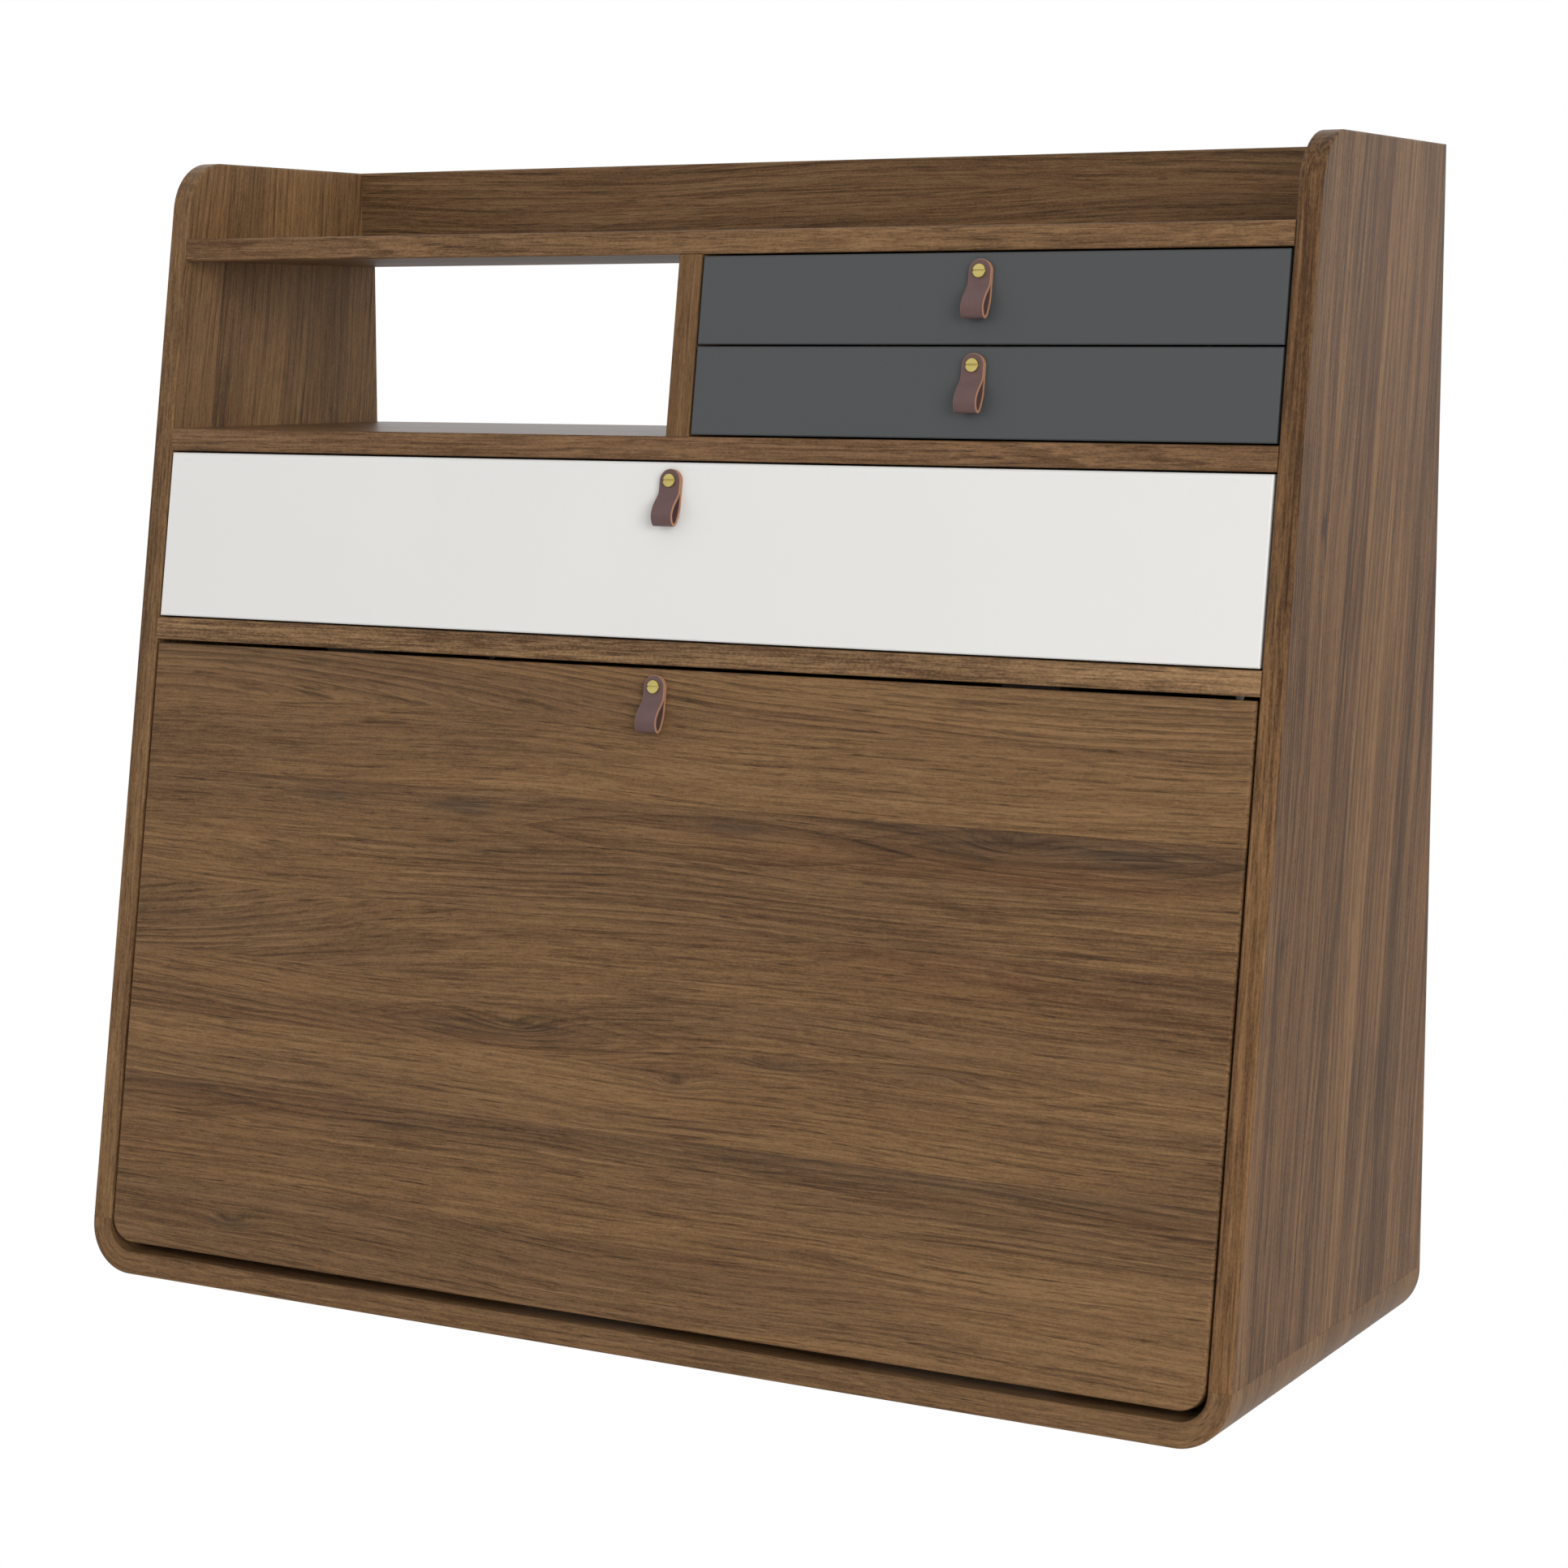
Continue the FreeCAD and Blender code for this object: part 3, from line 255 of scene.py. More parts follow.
@dataclass
class Board:
    """A board cut to an outline, with its corners rounded and its arrises rounded over.

    Rings of points run round the outline. At an angle t of the rounding, from 0 to 90 degrees, a ring
    lies arris * (1 - cos t) inside the outline and arris * (1 - sin t) short of the face.
    """

    axes: Axes
    corners: list[tuple[float, float]]
    radii: list[float]
    back: float
    front: float
    back_arris: list[float]
    front_arris: list[float]
    corner_steps: int = 8
    arris_steps: int = 5

    def ring(self, angle: float, arris: np.ndarray, level: float, side: int) -> tuple[np.ndarray, np.ndarray]:
        """One ring of the rounding of a face.

        Args:
            angle: The angle of the rounding, in radians.
            arris: The radius of the rounding along each edge.
            level: The level of the face.
            side: 1 for the front face and -1 for the back face.

        Returns:
            The ring's points and normals along the board's axes.
        """
        amounts = arris * (1 - math.cos(angle))
        radii = np.maximum(np.array(self.radii) - (amounts + np.roll(amounts, 1)) / 2, TINY)
        corners = moved_in(np.array(self.corners, float), amounts)
        flat, facing = rounded(corners, radii, self.corner_steps)
        spread = np.linspace(0, 1, self.corner_steps)
        depth = (np.roll(arris, 1)[:, None] * (1 - spread) + arris[:, None] * spread).reshape(-1)
        levels = level - side * depth * (1 - math.sin(angle))
        rise = np.full((len(flat), 1), side * math.sin(angle))
        return np.column_stack([flat, levels]), np.hstack([facing * math.cos(angle), rise])

    def shell(self) -> Shell:
        """Works out the board's points, faces and normals in the desk's frame."""
        quarter = np.linspace(0, math.pi / 2, self.arris_steps)
        back, front = np.array(self.back_arris, float), np.array(self.front_arris, float)
        rings = [self.ring(angle, back, self.back, -1) for angle in quarter[::-1]]
        rings += [self.ring(angle, front, self.front, 1) for angle in quarter]
        points, normals = (np.vstack([ring[part] for ring in rings]) for part in (0, 1))
        faces = tube_faces(len(rings), len(points) // len(rings))
        return self.axes.placed(points), faces, self.axes.turned(normals)


def disc(axes: Axes, radius: float, back: float, front: float, arris: float, sides: int = 40) -> Board:
    """A round board: an outline of many short sides whose corners share a small rounding.

    Args:
        axes: The disc's centre and axes.
        radius: Its radius.
        back: The level of its back face.
        front: The level of its front face.
        arris: The radius of the rounding of its front edge.
        sides: The number of sides.

    Returns:
        The disc as a board.
    """
    angle = np.linspace(0, 2 * math.pi, sides, endpoint=False)
    corners = np.stack([np.cos(angle), np.sin(angle)], axis=1) * radius
    share = [TINY] * sides
    return Board(axes, corners.tolist(), share, back, front, share, [arris] * sides, corner_steps=2)


# ---------------------------------------------------------------- sizes


@dataclass(frozen=True)
class Sizes:
    """The desk's main sizes, which its pieces share."""

    width: float = 1000 * MM
    height: float = 900 * MM
    depth_foot: float = 392 * MM
    depth_crown: float = 249.5 * MM
    board: float = 18 * MM
    bend_radius: float = 40 * MM
    joint_rise: float = 42 * MM
    crown_round: float = 45 * MM
    arris: float = 2 * MM
    small_arris: float = 0.25 * MM
    front_margin: float = 0.05 * MM
    middle_shelf_top: float = 683 * MM
    lower_shelf_foot: float = 512 * MM
    niche_opening: float = 136 * MM
    front_gap: float = 1.5 * MM
    flap_board: float = 18 * MM
    flap_arris: float = 2.5 * MM
    flap_foot_rise: float = 25.8 * MM
    flap_head_rise: float = 509.8 * MM
    flap_side_gap: float = 2 * MM
    divider_board: float = 20 * MM
    hinge_rise: float = 51 * MM
    pull_drop: float = 14 * MM
    rivet_up: float = 183.33 * MM

    @property
    def slope(self) -> float:
        """How far the front leans back for each unit of height."""
        return (self.depth_foot - self.depth_crown) / self.height

    @property
    def stretch(self) -> float:
        """The length along the front for each unit of height."""
        return math.hypot(self.slope, 1)

    @property
    def inner_half(self) -> float:
        """Half of the width between the side panels."""
        return self.width / 2 - self.board

    @property
    def top_shelf_foot(self) -> float:
        """The rise of the top shelf's underside."""
        return self.middle_shelf_top + self.niche_opening

    @property
    def up_the_front(self) -> tuple[float, float, float]:
        """The direction up the leaning front."""
        return (0.0, self.slope / self.stretch, 1 / self.stretch)

    def front(self, rise: float) -> float:
        """The Y of the leaning front at a rise."""
        return self.slope * rise - self.depth_foot

    def on_front(self, x: float, rise: float) -> Axes:
        """Axes on the leaning front: across it, up it, and out of it."""
        return Axes((x, self.front(rise), rise - DATUM), RIGHT, self.up_the_front)


# ---------------------------------------------------------------- shader building


class Wire:
    """A value inside a material, on which Python's operators add Math nodes."""

    def __init__(self, recipe: "Recipe", socket: bpy.types.NodeSocket) -> None:
        self.recipe = recipe
        self.socket = socket

    def maths(self, operation: str, *values: "Wire | float") -> "Wire":
        """Adds one Math node.

        Args:
            operation: The node's operation.
            values: Its inputs in order.

        Returns:
            The node's result.
        """
        return self.recipe.node("ShaderNodeMath", {"operation": operation}, dict(enumerate(values)))

    def __add__(self, other: "Wire | float") -> "Wire":
        return self.maths("ADD", self, other)

    __radd__ = __add__

    def __sub__(self, other: "Wire | float") -> "Wire":
        return self.maths("SUBTRACT", self, other)

    def __rsub__(self, other: "Wire | float") -> "Wire":
        return self.maths("SUBTRACT", other, self)

    def __mul__(self, other: "Wire | float") -> "Wire":
        return self.maths("MULTIPLY", self, other)

    __rmul__ = __mul__

    def __truediv__(self, other: "Wire | float") -> "Wire":
        return self.maths("DIVIDE", self, other)

    def __pow__(self, other: "Wire | float") -> "Wire":
        return self.maths("POWER", self, other)

    def fraction(self) -> "Wire":
        """The part of the value after its whole number."""
        return self.maths("FRACT", self)

    def falloff(self) -> "Wire":
        """e to the power of minus the value."""
        return self.maths("EXPONENT", self * -1.0)

    def whole(self) -> "Wire":
        """The whole number under the value."""
        return self.maths("FLOOR", self)

    def size(self) -> "Wire":
        """The value without its sign."""
        return self.maths("ABSOLUTE", self)

    def past(self, edge: float) -> "Wire":
        """1 where the value lies above an edge, and 0 elsewhere."""
        return self.maths("GREATER_THAN", self, edge)

    def near_to(self, number: float) -> "Wire":
        """1 where the value lies within a half of a number, and 0 elsewhere."""
        return self.maths("COMPARE", self, number, 0.5)

    def limited(self) -> "Wire":
        """The value kept between 0 and 1."""
        return self.recipe.node("ShaderNodeClamp", {}, {0: self, 1: 0.0, 2: 1.0})

    def above(self, low: float, high: float) -> "Wire":
        """A smooth step: 0 below low, 1 above high, and the other way round where high is below low."""
        settings = {"interpolation_type": "SMOOTHSTEP"}
        return self.recipe.node("ShaderNodeMapRange", settings, {0: self, 1: low, 2: high, 3: 0.0, 4: 1.0})


Value = Wire | float
Point = tuple[Value, Value, Value]


class Target(Enum):
    """What a recipe makes: its collection in Blender's data, and its last node."""

    MATERIAL = ("materials", "ShaderNodeOutputMaterial")
    WORLD = ("worlds", "ShaderNodeOutputWorld")


class Recipe:
    """A material, or the world, that is being put together from nodes."""

    def __init__(self, name: str, target: Target = Target.MATERIAL) -> None:
        store, self.last_node = target.value
        self.made = getattr(bpy.data, store).new(name)
        self.made.use_nodes = True
        self.tree = self.made.node_tree
        self.tree.nodes.clear()

    def node(self, kind: str, settings: dict, inputs: dict, output: int | str = 0) -> Wire:
        """Adds a node: first its settings, then the values or links of its sockets.

        Args:
            kind: The node's type.
            settings: Its properties by name.
            inputs: The value or Wire of each input, by the socket's name or number.
            output: The output that is returned.

        Returns:
            The chosen output.
        """
        node = self.tree.nodes.new(kind)
        for name, value in settings.items():
            setattr(node, name, value)
        for name, value in inputs.items():
            if isinstance(value, Wire):
                self.tree.links.new(value.socket, node.inputs[name])
            else:
                node.inputs[name].default_value = value
        return Wire(self, node.outputs[output])

    def vector(self, point: Point) -> Wire:
        """Puts three values together as a vector."""
        return self.node("ShaderNodeCombineXYZ", {}, dict(enumerate(point)))

    def parts(self, vector: Wire) -> tuple[Wire, Wire, Wire]:
        """Takes a vector apart into its three values."""
        first = self.node("ShaderNodeSeparateXYZ", {}, {0: vector})
        outputs = first.socket.node.outputs
        return first, Wire(self, outputs[1]), Wire(self, outputs[2])

    def place(self) -> tuple[Wire, Wire, Wire]:
        """The X, Y and Z of the point that is shaded, in the desk's frame."""
        return self.parts(self.node("ShaderNodeTexCoord", {}, {}, "Object"))

    def attribute(self, name: str, output: str) -> Wire:
        """Reads an attribute of the mesh."""
        return self.node("ShaderNodeAttribute", {"attribute_name": name}, {}, output)

    def noise(self, point: Point, detail: float = 2.0, roughness: float = 0.5) -> Wire:
        """Smooth noise between 0 and 1 with features one unit across.

        Args:
            point: Where the noise is read, already scaled.
            detail: How many finer layers are added.
            roughness: How strong each finer layer is.

        Returns:
            The noise.
        """
        values = {"Vector": self.vector(point), "Scale": 1.0, "Detail": detail, "Roughness": roughness}
        return self.node("ShaderNodeTexNoise", {"noise_dimensions": "3D"}, values)

    def chance(self, number: Wire) -> Wire:
        """A value between 0 and 1 that belongs to a whole number."""
        return self.node("ShaderNodeTexWhiteNoise", {"noise_dimensions": "1D"}, {"W": number})

    def even_noise(self, place: Point, pace: float, detail: float = 2.0, roughness: float = 0.5) -> Wire:
        """Noise with the same pace, in features per metre, in every direction."""
        return self.noise(tuple(part * pace for part in place), detail, roughness)

    def blend(self, share: Value, first: Wire | tuple, second: Wire | tuple) -> Wire:
        """Mixes two colours, of which share is how much of the second is taken."""
        settings = {"data_type": "RGBA", "blend_type": "MIX"}
        return self.node("ShaderNodeMix", settings, {0: share, 6: first, 7: second}, 2)

    def bump(self, height: Wire, depth: float, strength: float) -> Wire:
        """A normal that follows a height between 0 and 1, as deep as depth in metres."""
        values = {"Strength": strength, "Distance": depth, "Height": height}
        return self.node("ShaderNodeBump", {}, values)

    def surface(self, **values: Wire | float | tuple) -> bpy.types.Material:
        """Ends the material in one Principled shader.

        Args:
            values: The shader's sockets by name, with underscores for spaces.

        Returns:
            The finished material.
        """
        named = {name.replace("_", " "): value for name, value in values.items()}
        return self.finish(self.node("ShaderNodeBsdfPrincipled", {}, named, "BSDF"))

    def finish(self, shader: Wire) -> bpy.types.Material | bpy.types.World:
        """Links a shader to the last node."""
        last = self.tree.nodes.new(self.last_node)
        self.tree.links.new(shader.socket, last.inputs["Surface"])
        return self.made


# ---------------------------------------------------------------- finishes


class Run(Enum):
    """The way a board's grain runs."""

    ACROSS = "along X on an upright board"
    LEVEL = "along X on a level board"
    LEANING = "up the leaning front"
    ROUND_THE_BEND = "along the bent bottom panel"


@dataclass(frozen=True)
class Grain:
    """A place in a board by its grain: along it, across it and into the board."""

    recipe: Recipe
    along: Value
    across: Value
    deep: Value

    def noise(
        self,
        long: float,
        wide: float,
        detail: float = 1.0,
        roughness: float = 0.5,
        shift: Point = (0.0, 0.0, 0.0),
    ) -> Wire:
        """Noise that is drawn out along the grain.

        Args:
            long: The number of features per metre along the grain.
            wide: The number of features per metre across the grain.
            detail: How many finer layers are added.
            roughness: How strong each finer layer is.
            shift: What is added to the scaled place, so that no two noises are alike.

        Returns:
            The noise, between 0 and 1.
        """
        place = (self.along * long, self.across * wide, self.deep * wide)
        return self.recipe.noise(tuple(part + more for part, more in zip(place, shift)), detail, roughness)


@dataclass(frozen=True)
class Swirl:
    """A place on a board where the grain parts round a knot, makes pointed rings or is stained darker.

    along and beside are its centre, long and wide its reach, lift how far it pushes the grain, smoke how
    dark its stain is, and rings how many rings it has.
    """

    along: float
    beside: float
    long: float
    wide: float
    lift: float = 0.0
    smoke: float = 0.0
    rings: int = 0


def eye(along: float, beside: float, long: float, wide: float, rings: int) -> Swirl:
    """A swirl of pointed rings."""
    return Swirl(along, beside, long, wide, rings=rings)


def stain(along: float, beside: float, long: float, wide: float, smoke: float) -> Swirl:
    """A swirl that only darkens the wood."""
    return Swirl(along, beside, long, wide, smoke=smoke)


@dataclass(frozen=True)
class Stave:
    """A strip of a glued board: where it starts across the grain, and how much lighter it is than others."""

    edge: float
    tone: float


@dataclass(frozen=True)
class Walnut:
    """Oiled walnut staves with straight streaks, growth lines that fade in and out, and fine dark pores.

    straight is how much longer its streaks are than on a plain-sawn board, coarse how much wider, and
    stripes how strong they are. flames is how dark its long pointed bands are. A board without staves of
    its own has even ones.
    """

    name: str
    run: Run
    seed: float
    light: str = "8B6A48"
    pale: str = "A07E59"
    dark: str = "573E29"
    warm: str = "704A2F"
    smoke: str = "54463A"
    line: str = "30231A"
    lines: float = 0.35
    flames: float = 0.12
    straight: float = 1.0
    coarse: float = 1.0
    stripes: float = 1.0
    swirls: tuple[Swirl, ...] = ()
    staves: tuple[Stave, ...] = ()
    stave_width: float = 52 * MM
    roughness: float = 0.32

    def grain_place(self, recipe: Recipe) -> tuple[Wire, Wire, Wire]:
        """How far a point lies along the grain, across it, and into the board.

        On a leaning board the way across is the depth behind the front, slope * rise - foot's depth.
        """
        if self.run is Run.ROUND_THE_BEND:
            return recipe.parts(recipe.attribute("grain", "Vector"))
        x, y, z = recipe.place()
        if self.run is Run.LEANING:
            sizes = Sizes()
            return z, y - z * sizes.slope - sizes.front(DATUM), x
        return (x, z, y) if self.run is Run.ACROSS else (x, y, z)

    def staved(self, across: Wire, recipe: Recipe) -> tuple[Wire, Wire]:
        """Counts the staves up to a place across the grain.

        Args:
            across: The place across the grain.
            recipe: The material.

        Returns:
            The stave's number, and how much lighter it is than others.
        """
        if not self.staves:
            number = (across / self.stave_width + self.seed).whole()
            return number, (recipe.chance(number + self.seed) - 0.5) * 0.2
        number, tone, before = across * 0.0, across * 0.0, 0.0
        for stave in self.staves:
            past = across.past(stave.edge)
            number = number + past
            tone = tone + past * (stave.tone - before)
            before = stave.tone
        return number, tone

    def swirled(self, along: Wire, across: Wire, number: Wire) -> tuple[Wire, Wire, Wire, Wire]:
        """Pushes the grain aside round each swirl by lift * exp(-distance squared), and stains it likewise.

        A swirl's rings are lines of equal length squared + width, which have pointed ends.

        Args:
            along: The place along the grain.
            across: The place across the grain.
            number: The number of the point's stave, as a swirl ends where its own stave does.

        Returns:
            The pushed place across the grain, how near the point is to a swirl, how stained it is, and
            how close it is to a ring.
        """
        moved, near, stain, rings = across, across * 0.0, across * 0.0, across * 0.0
        for swirl in self.swirls:
            length = (along - swirl.along) / swirl.long
            width = (across - swirl.beside) / swirl.wide
            own = number.near_to(float(sum(swirl.beside > stave.edge for stave in self.staves)))
            hill = (length * length + width * width).falloff() * own
            if swirl.lift:
                moved = moved + hill * swirl.lift
                near = near + hill
            if swirl.smoke:
                stain = stain + hill * swirl.smoke
            if swirl.rings:
                reach = length * length + width.size()
                line = (reach * float(swirl.rings)).fraction() ** 4.0
                rings = rings + line * reach.above(1.02, 0.9) * own
        return moved, near.limited(), stain.limited(), rings

    def laid(self, recipe: Recipe) -> tuple[Grain, Wire, Wire, tuple[Wire, Wire, Wire]]:
        """Lays the grain: staves with their own stretches of it, pushed by the swirls, and swaying a little.

        Args:
            recipe: The material.

        Returns:
            The laid grain, how fully its stave shows growth lines, how much lighter the stave is, and how
            near the point is to a swirl, how stained, and how close to a ring.
        """
        along, across, deep = self.grain_place(recipe)
        number, tone = self.staved(across, recipe)
        own = recipe.chance(number * 1.7 + self.seed)
        ripple = Grain(recipe, along, across, deep).noise(5.0, 22.0, 2.0, 0.5, (number * 3.0, self.seed, 0.0))
        across, *swirled = self.swirled(along, across + (ripple - 0.5) * 0.006, number)
        along = along + own * 5.0
        sway = Grain(recipe, along, across, deep).noise(1.6, 3.5, shift=(self.seed, number, 0.0))
        across = across + (sway - 0.5) * 0.05 + number * 0.37
        return Grain(recipe, along, across, deep), own, tone, tuple(swirled)

    def dress(self) -> bpy.types.Material:
        """Builds the material: broad bands, then growth lines and streaks, then fibres, flecks and pores."""
        r = Recipe(self.name)
        seed = self.seed
        grain, own, stave, (near, stained, rings) = self.laid(r)
        far = grain.along / self.straight
        bold = Grain(r, far, grain.across / self.coarse, grain.deep / self.coarse)
        band = bold.noise(1.3, 13.0, 3.0, 0.6, (0.0, seed * 3, 0.0))
        patch = bold.noise(1.7, 11.0, 1.5, 0.5, (seed, 0.0, 5.0))
        vein = bold.noise(2.6, 120.0, 2.0, 0.6, (0.0, 0.0, seed))
        flame = Grain(r, far, grain.across, grain.deep).noise(1.5, 28.0, 1.5, 0.4, (seed, 0.0, 0.0))
        flame = flame.above(0.48, 0.6) * self.flames
        fade = grain.noise(2.4, 22.0, shift=(0.0, 0.0, seed)) + (own - 0.5) * 0.2
        streak = grain.noise(8.0, 420.0, 2.0, 0.6, (0.0, 0.0, seed))
        fibre = grain.noise(48.0, 1050.0, 2.0, 0.6)
        speck = grain.noise(380.0, 720.0)
        mottle = grain.noise(140.0, 300.0)
        dash = grain.noise(14.0, 430.0, shift=(seed, 0.0, 0.0)).above(0.58, 0.70)
        fleck = grain.noise(11.0, 410.0, shift=(0.0, 9.0, 0.0)).above(0.56, 0.72)
        pore = grain.noise(60.0, 900.0, shift=(0.0, seed, 0.0)).above(0.56, 0.68)
        growth = (bold.across * 175.0 + band * 2.6 + vein * 0.8 + seed).fraction()
        ringed = (fade.above(0.46, 0.66) * 0.8 + near).limited()
        late = growth ** 3.0 * growth.above(1.0, 0.9)
        stripe = (vein.above(0.34, 0.66) - 0.5) * 0.2 + (streak.above(0.36, 0.64) - 0.5) * 0.34
        tone = band.above(0.3, 0.72) * 0.28 + 0.38 + stripe * self.stripes + stave
        tone = tone + (0.5 - growth) * ringed * 0.22 - flame - stained * 0.4 - rings * 0.08
        tone = (tone + (fibre - 0.5) * 0.8 + (speck - 0.5) * 0.7 + (mottle - 0.5) * 0.25).limited()
        smoky = (flame * 0.8 + near * 0.16 + stained * 0.6).limited()
        line = late * ringed * self.lines * 1.6 + rings * (fibre + 0.1) * 0.7
        colour = linear(self.dark)
        for share, tint in (
            (tone, self.light),
            (patch.above(0.52, 0.8) * 0.35, self.warm),
            (smoky, self.smoke),
            (fleck * 0.2, self.pale),
            (line.limited(), self.line),
            ((dash * 0.42 + pore * 0.35).limited(), self.line),
        ):
            colour = r.blend(share, colour, linear(tint))
        return r.surface(
            Base_Color=colour,
            Roughness=(self.roughness + 0.1 * streak).limited(),
            Normal=r.bump(fibre * 0.5 - pore * 0.6 + streak * 0.3, 0.05 * MM, 0.4),
            Specular_IOR_Level=0.1,
        )


@dataclass(frozen=True)
class Lacquer:
    """Sprayed satin lacquer on board, with a trace of orange peel and of cloud in its sheen."""

    name: str
    tint: str
    roughness: float

    def dress(self) -> bpy.types.Material:
        """Builds the material."""
        r = Recipe(self.name)
        place = r.place()
        cloud = r.even_noise(place, 7.0)
        peel = r.even_noise(place, 700.0, 1.0)
        colour = r.blend(0.02 + cloud * 0.03, linear(self.tint), BLACK)
        return r.surface(
            Base_Color=colour,
            Roughness=self.roughness + cloud * 0.04,
            Normal=r.bump(peel, 0.01 * MM, 0.35),
            Specular_IOR_Level=0.33,
        )


class Through(Enum):
    """The axis along which a sheet of plywood is thin."""

    X = 0
    Y = 1
    Z = 2


@dataclass(frozen=True)
class Plywood:
    """Birch plywood: pale rotary-cut faces, and edges that show each veneer in turn."""

    name: str
    through: Through
    face: float
    gauge: float
    veneers: int
    light: str = "DCC5A0"
    dark: str = "B08A5C"
    glue: str = "6E4E30"

    @staticmethod
    def of_node(node: str, through: Through, veneers: int) -> "Plywood":
        """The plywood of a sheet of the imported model, with its veneers counted from its own face."""
        low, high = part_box(node)
        face = low[through.value]
        return Plywood(node + "_plywood", through, face, high[through.value] - face, veneers)

    def dress(self) -> bpy.types.Material:
        """Builds the material: the veneer's number is the depth from the face over one veneer's gauge."""
        r = Recipe(self.name)
        place = r.place()
        deep = place[self.through.value]
        first, second = (place[axis] for axis in range(3) if axis != self.through.value)
        layer = (deep - self.face) / (self.gauge / self.veneers)
        crossed = (layer * 0.5).fraction().above(0.49, 0.51)
        seam = (layer.fraction() - 0.5) * 2.0
        glue = (seam * seam).above(0.86, 0.98)
        wander = r.even_noise((first, second, deep), 3.0)
        figure = r.noise((first * 9.0 + wander * 2.0, second * 70.0, layer * 0.4), 3.0, 0.6)
        fibre = Grain(r, first, second, deep).noise(60.0, 900.0, 2.0)
        tone = (figure.above(0.3, 0.75) * 0.35 + (fibre - 0.5) * 0.3 + crossed * 0.4).limited()
        colour = r.blend(tone, linear(self.light), linear(self.dark))
        colour = r.blend(glue * 0.35, colour, linear(self.glue))
        return r.surface(
            Base_Color=colour,
            Roughness=0.5 + figure * 0.12,
            Normal=r.bump(fibre, 0.05 * MM, 0.4),
        )


@dataclass(frozen=True)
class Beech:
    """Plain beech with short flecks."""

    name: str = "beech_tongues"
    light: str = "C79F72"
    dark: str = "B4875A"
    ray: str = "8F6238"

    def dress(self) -> bpy.types.Material:
        """Builds the material."""
        r = Recipe(self.name)
        x, y, z = r.place()
        fleck = r.noise((x * 300.0, y * 60.0, z * 300.0), 2.0).above(0.55, 0.7)
        tone = r.noise((x * 20.0, y * 3.0, z * 20.0), 3.0)
        colour = r.blend(tone, linear(self.light), linear(self.dark))
        colour = r.blend(fleck * 0.4, colour, linear(self.ray))
        return r.surface(Base_Color=colour, Roughness=0.55 + fleck * 0.1)


@dataclass(frozen=True)
class Leather:
    """Smooth tanned leather with bare cut edges and painted shade on the inner face of its loop."""

    name: str = "tanned_leather"
    skin: str = "614846"
    worn: str = "6B514E"
    deep: str = "46312F"
    cut: str = "AC7F62"
    cut_shade: str = "8A6046"

    def dress(self) -> bpy.types.Material:
        """Builds the material."""
        r = Recipe(self.name)
        place = r.place()
        mottle = r.even_noise(place, 160.0, 3.0, 0.6)
        cells = {"Vector": r.vector(place), "Scale": 1900.0}
        crease = r.node("ShaderNodeTexVoronoi", {"feature": "DISTANCE_TO_EDGE"}, cells).above(0.16, 0.02)
        fine = r.even_noise(place, 2400.0)
        cut = r.attribute("cut", "Fac")
        inner = r.attribute("inner", "Fac")
        colour = r.blend(mottle.above(0.35, 0.7) * 0.4, linear(self.skin), linear(self.worn))
        colour = r.blend(crease * 0.18, colour, linear(self.deep))
        # painted shade: the inner face of the loop, which lies in the loop's shade, is darkened towards the
        # deep tint
        colour = r.blend(inner * (0.12 + fine * 0.2), colour, linear(self.deep))
        bare = r.blend(fine * 0.5, linear(self.cut), linear(self.cut_shade))
        colour = r.blend(cut.above(0.3, 0.75), colour, bare)
        height = fine * 0.5 - crease * 0.5 + mottle * 0.4
        return r.surface(
            Base_Color=colour,
            Roughness=(0.33 + mottle * 0.12 + cut * 0.3 + inner * 0.25).limited(),
            Normal=r.bump(height, 0.08 * MM, 0.5),
            IOR=1.45,
        )


@dataclass(frozen=True)
class Metal:
    """Turned or rolled metal with fine brush marks and slight tarnish."""

    name: str
    bright: str
    dull: str
    roughness: float
    brushed: float = 0.3

    def dress(self) -> bpy.types.Material:
        """Builds the material."""
        r = Recipe(self.name)
        place = r.place()
        marks = Grain(r, *place).noise(60.0, 1500.0, 2.0, 0.6)
        tarnish = r.even_noise(place, 90.0, 3.0, 0.6)
        colour = r.blend(tarnish.above(0.35, 0.8) * 0.6, linear(self.bright), linear(self.dull))
        return r.surface(
            Base_Color=colour,
            Roughness=(self.roughness + marks * 0.12 + tarnish * 0.08).limited(),
            Metallic=1.0,
            Normal=r.bump(marks, 0.01 * MM, self.brushed),
        )


@dataclass(frozen=True)
class CatchPlastic:
    """Brown moulded plastic with a fine spark texture."""

    name: str = "catch_plastic"
    light: str = "3B3029"
    dark: str = "2E2620"

    def dress(self) -> bpy.types.Material:
        """Builds the material."""
        r = Recipe(self.name)
        place = r.place()
        spark = r.even_noise(place, 2200.0)
        cloud = r.even_noise(place, 60.0)
        colour = r.blend(cloud, linear(self.light), linear(self.dark))
        return r.surface(
            Base_Color=colour,
            Roughness=0.5 + spark * 0.12,
            Normal=r.bump(spark, 0.03 * MM, 0.5),
        )


